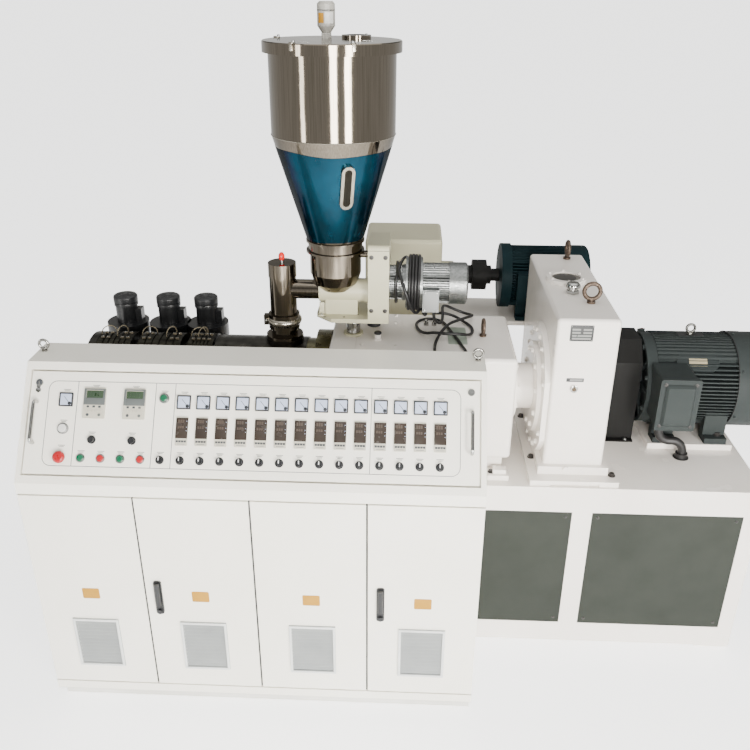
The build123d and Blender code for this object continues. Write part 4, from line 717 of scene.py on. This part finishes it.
# Doors: each has a small blank amber plate, and a paler moulded frame round its grille.
amber_plastic = moulded("amber_plate_plastic", "#a97a00", "#a07300", 0.6, 6, 0.02)
frame_abs = moulded("grille_frame_abs", "#cfd1cf", "#c5c7c5", 0.5, 3)
frame_bar, frame_rise = 9, 2
for number in range(1, 5):
    leaf = "door_leaf_%d" % number
    low_corner, high_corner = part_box("vent_grille_%d" % number)
    middle = (low_corner + high_corner) / 2
    amber = plate("plate", (0, 0, 0), (62, 46, 0.8), amber_plastic, 5, 0.3)
    fasten(joined("amber_plate_%d" % number, [amber]), leaf,
           facing((0, -1, 0), (middle.x - console_corner.x) / mm, 0, 552))
    wide, tall = [(high_corner[axis] - low_corner[axis]) / mm for axis in (0, 2)]
    bars = []
    for side in (-1, 1):
        bars += [plate("bar", (0, side * (tall - frame_bar) / 2, 0),
                       (wide, frame_bar, frame_rise), frame_abs, 0, 0.6),
                 plate("bar", (side * (wide - frame_bar) / 2, 0, 0),
                       (frame_bar, tall - 2 * frame_bar, frame_rise), frame_abs, 0, 0.6)]
    fasten(joined("grille_frame_%d" % number, bars), leaf,
           Matrix.Translation((middle.x, low_corner.y, middle.z))
           @ Matrix.Rotation(radians(90), 4, "X"))

# Base covers: each grey-green sheet is held by a pan head screw in every corner.
cover_first, cover_pitch, cover_width = 67, 657, 580
cover_low, cover_high, screw_inset = 123, 675, 24
black_bolt_steel = enamel("blackened_bolt_steel", "#1d1c1b", "#2b2724", 0.4, 5, 0.1, coat=0)
base_front, base_back, cover_inset = 410, 1352, 2
console_end = 1590


def pan_screw(radius, rise, material):
    """A pan head screw with its washer."""
    washer = turned_part("washer", (0, 0, 0), radius * 1.45, rise * 0.25, material, 0.2, 20)
    head = turned_part("head", (0, 0, rise * 0.2), radius, rise, material, rise * 0.6, 16, 3)
    return joined("screw", [washer, head])


def hex_bolt(radius, rise, material):
    """A hexagon bolt head on its washer."""
    washer = turned_part("washer", (0, 0, 0), radius * 1.3, rise * 0.22, material, 0.2, 20)
    head = turned_part("head", (0, 0, rise * 0.2), radius, rise * 0.8, material, rise * 0.1, 6)
    return joined("bolt", [washer, head])


def on_circle(x, y, z, radius, count):
    """Points round a line along X, the first one half a step up from +Y."""
    turns = [2 * pi * (step + 0.5) / count for step in range(count)]
    return [(x, y + radius * cos(turn), z + radius * sin(turn)) for turn in turns]


def screws_on(name, model, outward, spots):
    """Copies of a screw or bolt on faces of the machine that look one way."""
    fasten(repeated(name, model, [facing(outward, *spot) for spot in spots]), "machine")


cover_xs = [cover_first + k * cover_pitch + side for k in range(4)
            for side in (screw_inset, cover_width - screw_inset)]
cover_zs = (cover_low + screw_inset, cover_high - screw_inset)
screws_on("front_cover_screws", pan_screw(4.5, 3, black_bolt_steel), (0, -1, 0),
          [(x, base_front + cover_inset, z) for x in cover_xs if x > console_end for z in cover_zs])
screws_on("back_cover_screws", pan_screw(4.5, 3, black_bolt_steel), (0, 1, 0),
          [(x, base_back - cover_inset, z) for x in cover_xs for z in cover_zs])

# Tall gearbox: a cast iron case, painted white with its bolts. A ring of bolts holds it to
# the neck, and its plate is bolted to the base with black bolts.
gearbox_left, gearbox_front, gearbox_top = 1841, 490, 1446
axis_y, axis_z = 735, 1061
boss_face, neck_face, base_top = gearbox_left - 20, 1738, 787
plate_top = base_top + 22
boss_bolts = [spot for spot in on_circle(boss_face, axis_y, axis_z, 232, 20)
              if spot[1] > gearbox_front + 34]
screws_on("gearbox_boss_bolts", hex_bolt(9, 9, machine_paint), (-1, 0, 0), boss_bolts)
screws_on("gear_flange_bolts", hex_bolt(10, 9, machine_paint), (-1, 0, 0),
          on_circle(boss_face - 16, axis_y, axis_z, 155, 10))
screws_on("neck_flange_bolts", hex_bolt(8, 8, machine_paint), (1, 0, 0),
          on_circle(neck_face, axis_y, axis_z, 110, 8))
plate_bolts = [(1811, y, plate_top) for y in (594, 936, 1220)]
plate_bolts += [(2107, y, plate_top) for y in (470, 700, 1000, 1250)]
screws_on("gearbox_foot_bolts", hex_bolt(11, 12, black_bolt_steel), (0, 0, 1), plate_bolts)
port_x, port_y, port_rise, port_circle = 1940, 925, 16, 69
port_bolts = [(port_x + port_circle * cos(turn), port_y + port_circle * sin(turn),
               gearbox_top + port_rise) for turn in [pi * (k + 0.5) / 3 for k in range(6)]]
screws_on("port_ring_bolts", hex_bolt(5, 5, machine_paint), (0, 0, 1), port_bolts)

# Name plates of the gearbox: aluminium etched black, with pale fields that are left blank
# and four small rivets.
etched_plate = enamel("etched_aluminium_plate", "#1f2123", "#191b1c", 0.5, 4, 0.02, coat=0)
pale_plate = enamel("matt_anodised_plate", "#7b7c79", "#727370", 0.5, 4, 0.02, coat=0)
name_plate = [plate("plate", (0, 0, 0), (84, 62, 1.2), etched_plate, 3, 0.3)]
name_plate += [plate("field", (x, y, 1.1), (width, 7, 0.3), pale_plate, 0.8, 0)
               for y, row in ((14, ((-20, 30), (20, 30))), (2, ((-20, 30), (20, 30))),
                              (-10, ((-26, 16), (10, 50))), (-21, ((0, 68),)))
               for x, width in row]
name_plate += [turned_part("rivet", (x, y, 1.1), 2, 1.2, pale_plate, 0.6, 12)
               for x in (-38, 38) for y in (-27, 27)]
fasten(joined("gearbox_name_plate", name_plate), "machine",
       facing((0, -1, 0), 1931, gearbox_front, 1394))
fasten(joined("gearbox_small_plate", [
    plate("plate", (0, 0, 0), (64, 15, 1), etched_plate, 2, 0.2),
    plate("field", (4, 0, 0.9), (46, 8, 0.3), pale_plate, 0.5, 0)]),
    "machine", facing((0, -1, 0), 1927, gearbox_front, 1207))

# Sight glass: a chromed ring round a dark amber disc, which is oil behind glass.
amber_oil = moulded("oil_behind_glass", "#4d3c20", "#42331b", 0.08, 14, 0.01)
fasten(joined("oil_sight_glass", [
    turned_part("ring", (0, 0, 5.8), 14.6, 2.4, chrome, 1.2, 36),
    turned_part("oil", (0, 0, 8), 8.5, 0.8, amber_oil, 0.3, 28)]),
    "machine", facing((0, -1, 0), 1926, gearbox_front, 1172))

# Breather: a hexagon base, a short neck and a domed chromed hat over it.
fasten(joined("gearbox_breather_cap", [
    turned_part("hexagon", (0, 0, 0), 25, 13, chrome, 1.5, 6),
    turned_part("neck", (0, 0, 13), 19, 14, chrome, 0.5, 28),
    turned_part("hat", (0, 0, 25), 28, 20, chrome, 15, 36, 6)]),
    "machine", facing((0, 0, 1), port_x, 771, gearbox_top))

# Filling port: two grey discs inside its ring are painted shade of the hollow casting, the inner
# one darker.
port_painted_shade = enamel("port_wall_painted_shade", "#6f6c65", "#5f5c56", 0.6, 12, 0.1, coat=0)
port_painted_deep_shade = enamel("port_depth_painted_shade", "#3c3a37", "#33312e", 0.6, 12, 0.1, coat=0)
fasten(joined("port_opening", [
    turned_part("port_wall", (0, 0, 8), 57.8, 1.2, port_painted_shade, 0.3, 48),
    turned_part("port_depth", (-5, 5, 9.1), 46, 0.6, port_painted_deep_shade, 0.2, 48)]),
    "machine", facing((0, 0, 1), port_x, port_y, gearbox_top))

# Main motor: a blank beige plate on the pad between the fins, the bolts of its end shield
# and feet, and the raised lid of its terminal box with four screws. The guard in front of it
# has its own foot screws.
motor_y, motor_z, pad_reach = 930, 1022, 189
beige_plate = enamel("beige_lacquered_plate", "#a59c80", "#998f73", 0.45, 8, 0.02, coat=0.05)
pad_out = Vector((0, -1, 1)).normalized()
fasten(joined("motor_name_plate", [
    plate("plate", (0, 0, 0), (72, 42, 1.2), beige_plate, 2, 0.3)] + [
    turned_part("rivet", (x, y, 1), 2, 1.4, pale_plate, 0.6, 12)
    for x in (-32, 32) for y in (-17, 17)]),
    "machine",
    facing(pad_out, 2479, motor_y + pad_reach * pad_out.y,
           motor_z + pad_reach * pad_out.z))
screws_on("motor_shield_bolts", hex_bolt(9, 8, motor_paint), (-1, 0, 0),
          on_circle(2277, motor_y, motor_z, 176, 8))
box_front = 612
lid_screws = [(x, box_front, z) for x in (2305, 2423) for z in (956, 1136)]
screws_on("terminal_lid_screws", hex_bolt(6, 5, black_bolt_steel), (0, -1, 0), lid_screws)
lid_panel = plate("terminal_lid_panel", (0, 0, 0), (116, 178, 13), motor_paint, 10, 0)
ease_edges(lid_panel, lambda a, b: min(a.z, b.z) > 12.9 * mm, 9, 1)
fasten(lid_panel, "machine", facing((0, -1, 0), 2364, box_front, 1046))
foot_bolts = [(x, y, 838) for x in (2362, 2600) for y in (motor_y - 165, motor_y + 165)]
screws_on("motor_foot_bolts", hex_bolt(12, 12, black_bolt_steel), (0, 0, 1), foot_bolts)
guard_screws = [(x, y, 793) for x in (2100, 2232) for y in (787, 1073)]
screws_on("guard_foot_screws", pan_screw(7, 5, zinc), (0, 0, 1), guard_screws)

# Distribution casing: small hexagon bolts along its seams, a two step foot block with its
# bolts, and the black top of its knob.
casing_top = 1273
casing_bolts = [(x, y, casing_top) for x in (1128, 1257) for y in (540, 620, 850, 925)]
screws_on("casing_seam_bolts", hex_bolt(6, 6, machine_paint), (0, 0, 1), casing_bolts)
fasten(joined("casing_foot_block", [
    plate("block", (0, 0, 0), (84, 58, 20), machine_paint, 5, 2),
    plate("step", (6, 6, 19.5), (52, 38, 16), machine_paint, 4, 2)]),
    "machine", facing((0, 0, 1), 1668, 478, base_top))
screws_on("casing_foot_bolts", hex_bolt(10, 10, black_bolt_steel), (0, 0, 1),
          [(1642, 478, base_top + 20), (1646, 900, base_top)])
fasten(turned_part("casing_knob_top", (0, 0, 24), 14.4, 9, black_nylon, 4, 32, 4), "machine",
       facing((0, 0, 1), 1190, 678, casing_top))

# Hopper: the protective blue film is still on the cone. It lies tight on the steel, ends
# above and below in hand cut edges, and shows the metal's reflections in blue.
film_low, film_high, film_rings = 1668, 2008, 14
cone_low, cone_low_radius, cone_high, cone_high_radius = 1660, 106, 2042, 221
film_lift = 0.8
hopper_x = 1025


def cone_radius(z):
    """The outer radius of the hopper cone at a height."""
    return cone_low_radius + (cone_high_radius - cone_low_radius) * (z - cone_low) / (
        cone_high - cone_low)


blue_film, tree, place = new_material("blue_protective_film")
film_tone = spread(tree, noise_of(tree, place, 130, 3), 0, 1)
crease_mm = (30, 30, 300)
crease = streaks(tree, place, crease_mm)
finish_material(blue_film, tree, Base_Color=two_tone(tree, film_tone, "#124154", "#0b2c3a"),
                Metallic=0.9, Roughness=spread(tree, crease, 0.14, 0.3),
                Normal=bumped(tree, crease, 1.2), Specular_Tint=linear("#1c3440"),
                Coat_Weight=0.15, Coat_Roughness=0.08)
deselect_all()
bpy.ops.mesh.primitive_cone_add(vertices=96, radius1=(cone_radius(film_low) + film_lift) * mm,
                                radius2=(cone_radius(film_high) + film_lift) * mm,
                                depth=(film_high - film_low) * mm, end_fill_type="NOTHING")
film = bpy.context.object
film.name = "hopper_blue_film"
edit_edges(film, lambda a, b: abs(a.z - b.z) > 1 * mm)
bpy.ops.mesh.subdivide(number_cuts=film_rings)
bpy.ops.object.mode_set(mode="OBJECT")
film_middle = (film_low + film_high) / 2
for vertex in film.data.vertices:
    angle = atan2(vertex.co.y, vertex.co.x)
    share = (vertex.co.z / mm + film_middle - film_low) / (film_high - film_low)
    low_edge = film_low + 4 + 5 * sin(angle + 0.6) + 2.2 * sin(3 * angle)
    high_edge = film_high - 8 + 6 * sin(angle * 2 + 1) + 2 * sin(5 * angle)
    z = low_edge + (high_edge - low_edge) * share
    reach = (cone_radius(z) + film_lift) * mm
    vertex.co = Vector((reach * cos(angle), reach * sin(angle), z * mm))
film_wall = film.modifiers.new("film_wall", "SOLIDIFY")
film_wall.thickness = 0.4 * mm
bpy.context.view_layer.objects.active = film
bpy.ops.object.modifier_apply(modifier=film_wall.name)
film.data.materials.append(blue_film)
bpy.ops.object.shade_smooth_by_angle(angle=radians(35))
fasten(film, "machine", standing(hopper_x, axis_y, 0))

# Sight window of the hopper: an obround frame of brushed stainless plate round a sunken strip that
# stands for the glass, near black with painted shade of the unlit hopper behind it.


def edit_faces(piece, wanted):
    """Goes into edit mode with only the faces selected whose middle and normal suit."""
    edit_chosen(piece, [face for face in piece.data.polygons
                        if wanted(face.center, face.normal)], (False, False, True))


def recess(piece, border, depth, floor_slot):
    """Sinks the upper face of a plate inside a border, and gives its floor a material."""
    edit_faces(piece, lambda middle, normal: normal.z > 0.99)
    bpy.ops.mesh.inset(thickness=border * mm)
    bpy.ops.mesh.extrude_region_move(TRANSFORM_OT_translate={"value": (0, 0, -depth * mm)})
    piece.active_material_index = floor_slot
    bpy.ops.object.material_slot_assign()
    bpy.ops.object.mode_set(mode="OBJECT")


# Painted shade: the glass is given the near black of the unlit hopper behind it.
sight_window_shade = enamel("sight_glass_painted_shade", "#17150f", "#201d17", 0.2, 30, 0.01, coat=0,
                    sheen_level=0.1)
brushed_steel = steel("brushed_stainless", "#b3ada1", "#8f897d", 0.26, (3, 60, 60), 60, 0.1)
window_turn = radians(19)
window_height = 1890
window_reach = cone_radius(window_height)
window_out = (sin(window_turn), -cos(window_turn),
              -(cone_high_radius - cone_low_radius) / (cone_high - cone_low))
sight_frame = plate("sight_window_frame", (0, 0, -3), (47, 164, 18), brushed_steel, 23.4, 0)
sight_frame.data.materials.append(sight_window_shade)
recess(sight_frame, 10.5, 3, 1)
fasten(sight_frame, "machine",
       facing(window_out, hopper_x + window_reach * sin(window_turn),
              axis_y - window_reach * cos(window_turn), window_height))

# Level sensor: a moulded head with a dark seal under its cap and two blank labels.
orange_label = moulded("orange_label_film", "#b88200", "#ae7a00", 0.5, 8, 0.01)
white_label = moulded("white_label_film", "#d9d9d5", "#cececa", 0.4, 8, 0.01)


def round_label(radius, low, high, first_angle, last_angle, material):
    """A label bent round an upright cylinder, from one angle in degrees to another."""
    deselect_all()
    bpy.ops.mesh.primitive_cylinder_add(vertices=72, radius=radius * mm,
                                        depth=(high - low) * mm, end_fill_type="NOTHING")
    piece = bpy.context.object
    edit_faces(piece, lambda middle, normal: not (
        radians(first_angle) < atan2(middle.y, middle.x) < radians(last_angle)))
    bpy.ops.mesh.delete(type="FACE")
    bpy.ops.object.mode_set(mode="OBJECT")
    film_layer = piece.modifiers.new("film_layer", "SOLIDIFY")
    film_layer.thickness = 0.35 * mm
    bpy.ops.object.modifier_apply(modifier=film_layer.name)
    piece.data.transform(move(0, 0, (low + high) / 2))
    piece.data.materials.append(material)
    return piece


fasten(joined("level_sensor_labels", [
    turned_part("seal", (0, 0, 2441), 31.4, 2.6, black_nylon, 0.2, 48),
    round_label(31.5, 2402, 2434, -140, -98, orange_label),
    round_label(31.5, 2400, 2436, -94, -36, white_label)]),
    "machine", standing(999, 807, 0))

# Hopper lid: a folded stainless lid with two blank labels, held by toggle clamps on its rim.
# A weld bead runs round the hopper where the cone meets the cylinder.
lid_top, lid_radius = 2352, 240


def ring(name, radius, wire_radius, material, around=96, across=8):
    """A ring of round wire or bead, flat round its middle."""
    deselect_all()
    bpy.ops.mesh.primitive_torus_add(major_radius=radius * mm, minor_radius=wire_radius * mm,
                                     major_segments=around, minor_segments=across)
    piece = bpy.context.object
    piece.name = name
    piece.data.materials.append(material)
    return piece


lid_labels = [plate("label", (x - hopper_x, y - axis_y, lid_top), (38, 17, 0.8),
                    white_label, 1, 0) for x, y in ((944, 604), (1150, 700))]
fasten(joined("lid_labels", lid_labels), "machine",
       standing(hopper_x, axis_y, 0))
clamp = joined("clamp", [
    plate("strap", (0, lid_radius - 7, lid_top), (16, 20, 3), brushed_steel, 2, 0.6),
    plate("lever", (0, lid_radius + 1.5, lid_top - 22), (12, 4, 26), brushed_steel, 1, 0.6),
    turned_part("knob", (0, lid_radius - 14, lid_top + 2.6), 4.6, 7, zinc, 1, 16)])
fasten(repeated("lid_clamps", clamp, [
    standing(hopper_x, axis_y, 0) @ Matrix.Rotation(radians(turn), 4, "Z")
    for turn in (62, 152, 202, 332)]), "machine")
fasten(joined("hopper_weld_bead", [ring("bead", cone_high_radius, 1.7, brushed_steel)]),
       "machine", standing(hopper_x, axis_y, cone_high + 1))

# Drop tube: a rolled clamp ring with its bolt, and a bright stem under the red knob.
drop_tube_x = 818
clamp_ring = ring("clamp_ring", 56, 13, brushed_steel, 64, 16)
clamp_ring.data.transform(Matrix.Diagonal((1, 1, 1.2, 1)))
clamp_bolt = turned_part("clamp_bolt", (0, 0, -20), 5, 44, zinc, 0.8, 16)
clamp_bolt.data.transform(move(-70, 0) @ Matrix.Rotation(radians(90), 4, "X"))
fasten(joined("drop_tube_clamp", [clamp_ring, clamp_bolt]), "machine",
       standing(drop_tube_x, axis_y, 1327))
fasten(turned_part("knob_stem", (0, 0, 0), 6.6, 15, zinc, 0.5, 20), "machine",
       standing(drop_tube_x, axis_y, 1561))

# Feeder: the sheet cap of the chain cover shows as a seam, and bolts hold the cover. Screws
# hold the motor's terminal lid, and a bracket and open holes are left on the plate.
plate_face = 1366
seam_dark = moulded("seam_shadow_gap", "#2e2d26", "#26251f", 0.6, 5, 0.01)
fasten(plate("chain_cover_seam", (0, 0, 0), (79.8, 212.8, 1.8), seam_dark, edge=0), "machine",
       standing(1191.5, 756, 1636))
screws_on("chain_cover_bolts", hex_bolt(6.5, 6, black_bolt_steel), (0, -1, 0),
          [(1165, 650, 1402), (1217, 650, 1402), (1165, 650, 1612), (1217, 650, 1612)])
silver_lid = enamel("silver_lid_paint", "#8b8d8c", "#7f8180", 0.5, 5, 0.05, coat=0)
feeder_lid = plate("feeder_lid", (0, 0, 0), (57, 82, 6), silver_lid, 9, 1.5)
lid_corners = [turned_part("screw", (x, y, 5.8), 3, 2, zinc, 0.8, 12)
               for x in (-22, 22) for y in (-34, 34)]
fasten(joined("feeder_terminal_lid", [feeder_lid] + lid_corners), "machine",
       facing((0, -1, 0), 1388.5, 622, 1454.5))
bracket = joined("plate_bracket", [
    plate("upright", (0, 0, 0), (20, 4, 48), feeder_paint, 0, 0.8),
    plate("foot", (0, -12, 0), (20, 24, 4), feeder_paint, 0, 0.8),
    turned_part("bolt", (0, -14, 4), 4.5, 4, zinc, 0.8, 6)])
fasten(bracket, "machine", standing(972, 700, plate_face))
fasten(repeated("plate_holes", turned_part("hole", (0, 0, 0), 5, 0.5, seam_dark, 0.1, 20), [
    standing(x, y, plate_face) for x, y in ((1111, 700), (1059, 672), (985, 668))]),
    "machine")

# Top of the casing: two chromed pipe unions, a black cap and a grey-green sheet, which is painted
# shade on the casing top, all beside the feeder's leads.
union = joined("union", [turned_part("nut", (0, 0, 0), 11, 12, chrome, 1, 6),
                         turned_part("stub", (0, 0, 11.5), 6, 14, chrome, 1, 20)])
fasten(repeated("pipe_unions", union, [
    standing(x, 836, casing_top) for x in (1380, 1412)]),
    "machine")
fasten(turned_part("casing_black_cap", (0, 0, 0), 27, 14, black_nylon, 3, 36), "machine",
       standing(1168, 828, casing_top))
# Painted shade: a thin grey-green sheet on the white casing top.
casing_shade_paint = moulded("casing_top_painted_shade", "#8f9a8c", "#858f82", 0.35, 20, 0.02)
fasten(plate("casing_top_shade_sheet", (0, 0, 0), (74, 170, 1.5), casing_shade_paint, 3, 0.3), "machine",
       standing(1500, 730, casing_top))

# Feeder post: a bright turned sleeve over the painted post, with its clamping slit in front.
post_sleeve = turned_part("sleeve", (0, 0, 8), 27, 46, chrome, 1.5, 48)
clamp_slit = plate("slit", (0, -27.2, 31), (5, 1.2, 34), seam_dark, 0.3, 0)
fasten(joined("feeder_post_sleeve", [post_sleeve, clamp_slit]), "machine",
       standing(1091, axis_y, casing_top))

# Main motor: a forged eye on a dark flat between the fins, a lug with a red plug on the end shield,
# a grommet where the hose enters the base, and on the cowl a blind entry, screws and a dark joint.
# The flat, the blind entry and the joint are near black with painted shade of the hollows they
# stand for.
motor_hollow_shade = enamel("motor_hollow_painted_shade", "#17191a", "#111313", 0.6, 8, 0.05, coat=0)
bright_eye = steel("bright_forged_steel", "#6f6f6b", "#545450", 0.4, (8, 8, 8), 14, 0.3)
eye_ring = ring("eye_ring", 17, 5.2, bright_eye, 40, 12)
eye_ring.data.transform(move(0, 0, 26) @ Matrix.Rotation(radians(90), 4, "X"))
fasten(joined("motor_lifting_eye", [
    eye_ring, turned_part("eye_boss", (0, 0, 0), 14, 9, bright_eye, 2, 28),
    plate("eye_flat", (0, 0, -2), (104, 44, 3), motor_hollow_shade, 4, 0)]),
    "machine", standing(2478, 940, 1216))
red_plug = moulded("red_plug_plastic", "#b01713", "#a01411", 0.3, 8, 0.02)
fasten(joined("shield_lug", [
    plate("lug", (0, 0, -4), (26, 34, 20), motor_paint, 4, 2),
    turned_part("plug", (-5, -6, 16), 6, 3, red_plug, 1, 20)]),
    "machine", facing((0, 0.45, 0.89), 2299, 1014, 1189))
cowl_radius, entry_offset = 199, 61
entry_out = (0, entry_offset / cowl_radius, (1 - (entry_offset / cowl_radius) ** 2) ** 0.5)
fasten(plate("cowl_blind_entry", (0, 0, -0.4), (50, 24, 1.2), motor_hollow_shade, 11.9, 0), "machine",
       facing(entry_out, 2672, motor_y + entry_offset,
                            motor_z + cowl_radius * entry_out[2]))
cowl_screws = []
for turn in (28, 88, 148, 208, 268, 328):
    radial = (0, cos(radians(turn)), sin(radians(turn)))
    cowl_screws.append(facing(radial, 2652, motor_y + cowl_radius * radial[1],
                              motor_z + cowl_radius * radial[2]))
fasten(repeated("cowl_screws", pan_screw(5.5, 4, motor_paint), cowl_screws), "machine")
fasten(joined("cowl_shadow_gap", [ring("gap", cowl_radius - 0.4, 2.4, motor_hollow_shade)]),
       "machine",
       standing(2638, motor_y, motor_z) @ Matrix.Rotation(radians(90), 4, "Y"))
hose_rubber = moulded("grommet_rubber", "#101010", "#191818", 0.5, 3)
fasten(turned_part("hose_grommet", (0, 0, 0), 31, 2.5, hose_rubber, 1, 40), "machine",
       standing(2430, 662, base_top))

# Heater shells: ceramic terminal blocks stand on each shell with short braided leads.
ceramic = moulded("glazed_ceramic_terminal", "#7d735f", "#6e6553", 0.35, 8, 0.03)
braid = moulded("glass_braid_sleeve", "#8b816b", "#766d59", 0.7, 2, 0.1)
heater_spans = ((72, 208), (237, 407), (436, 536))
heater_radius = 183
terminal = joined("terminal", [plate("block", (0, 0, 0), (13, 8, 6), ceramic, 1, 1),
                               turned_part("screw", (-3, 0, 5.8), 2.2, 2, zinc, 0.6, 12),
                               turned_part("screw", (3, 0, 5.8), 2.2, 2, zinc, 0.6, 12)])
terminal_places = []
for first, last in heater_spans:
    for x in (first + 18, first + 40, last - 40, last - 18):
        for lean in (8, -7):
            out = (0, -sin(radians(lean)), cos(radians(lean)))
            terminal_places.append(facing(out, x, axis_y + heater_radius * out[1],
                                          axis_z + heater_radius * out[2]))
fasten(repeated("heater_terminals", terminal, terminal_places), "machine")
lead = ring("lead", 30, 2.2, braid, 40)
edit_faces(lead, lambda middle, normal: middle.y < -4 * mm)
bpy.ops.mesh.delete(type="FACE")
bpy.ops.mesh.select_all(action="SELECT")
bpy.ops.mesh.region_to_loop()
bpy.ops.mesh.edge_face_add()
bpy.ops.object.mode_set(mode="OBJECT")
lead.data.transform(Matrix.Rotation(radians(90), 4, "X"))
lead_places = []
for first, last in heater_spans:
    for x, turn in ((last - 52, 64), (first + 30, 28)):
        lead_places.append(standing(x, axis_y + 18, axis_z + heater_radius + 2)
                           @ Matrix.Rotation(radians(turn), 4, "Z"))
fasten(repeated("heater_leads", lead, lead_places), "machine")

# Blowers: each motor ends in a moulded cap with a round rim and ribs over its air inlet.
blower_cap = [turned_part("rim", (0, 0, 0), 50.5, 27, black_nylon, 8, 40, 4),
              turned_part("band", (0, 0, -18), 49.8, 15, black_nylon, 2, 40),
              turned_part("hub", (0, 0, 26.6), 11, 1.6, black_nylon, 0.5, 20)]
for turn in range(0, 180, 30):
    rib = plate("rib", (0, 0, 26.6), (72, 3.4, 1.4), black_nylon, 0, 0.3)
    rib.data.transform(Matrix.Rotation(radians(turn), 4, "Z"))
    blower_cap.append(rib)
fasten(repeated("blower_caps", joined("cap", blower_cap), [
    standing(x, 1005, 1291) for x in (93, 278, 441)]), "machine")

# Doors: a black strip in the gap between two doors is a rubber seal, and dark as painted shade of
# the gap. It is pushed on the edge of the leaf that closes first in each pair, and stuck on the
# post between the pairs.
seal_gap_shade = moulded("door_seal_rubber", "#1b1b1a", "#242322", 0.6, 3)
seal_set_back, seal_play, post_clearance = 4, 1.5, 0.4
for step, carrier in enumerate(("door_leaf_1", "machine", "door_leaf_3")):
    leaf_low, leaf_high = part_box("door_%d" % (step + 1))
    seam_low, seam_high = leaf_high.x / mm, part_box("door_%d" % (step + 2))[0].x / mm - seal_play
    face = leaf_low.y / mm + seal_set_back
    back = leaf_high.y / mm + (post_clearance if carrier == "machine" else 0)
    strip = plate("door_seal_%d" % (step + 1),
                  ((seam_low + seam_high) / 2, (face + back) / 2, leaf_low.z / mm),
                  (seam_high - seam_low, back - face, (leaf_high.z - leaf_low.z) / mm),
                  seal_gap_shade, 0, 0)
    fasten(strip, carrier)
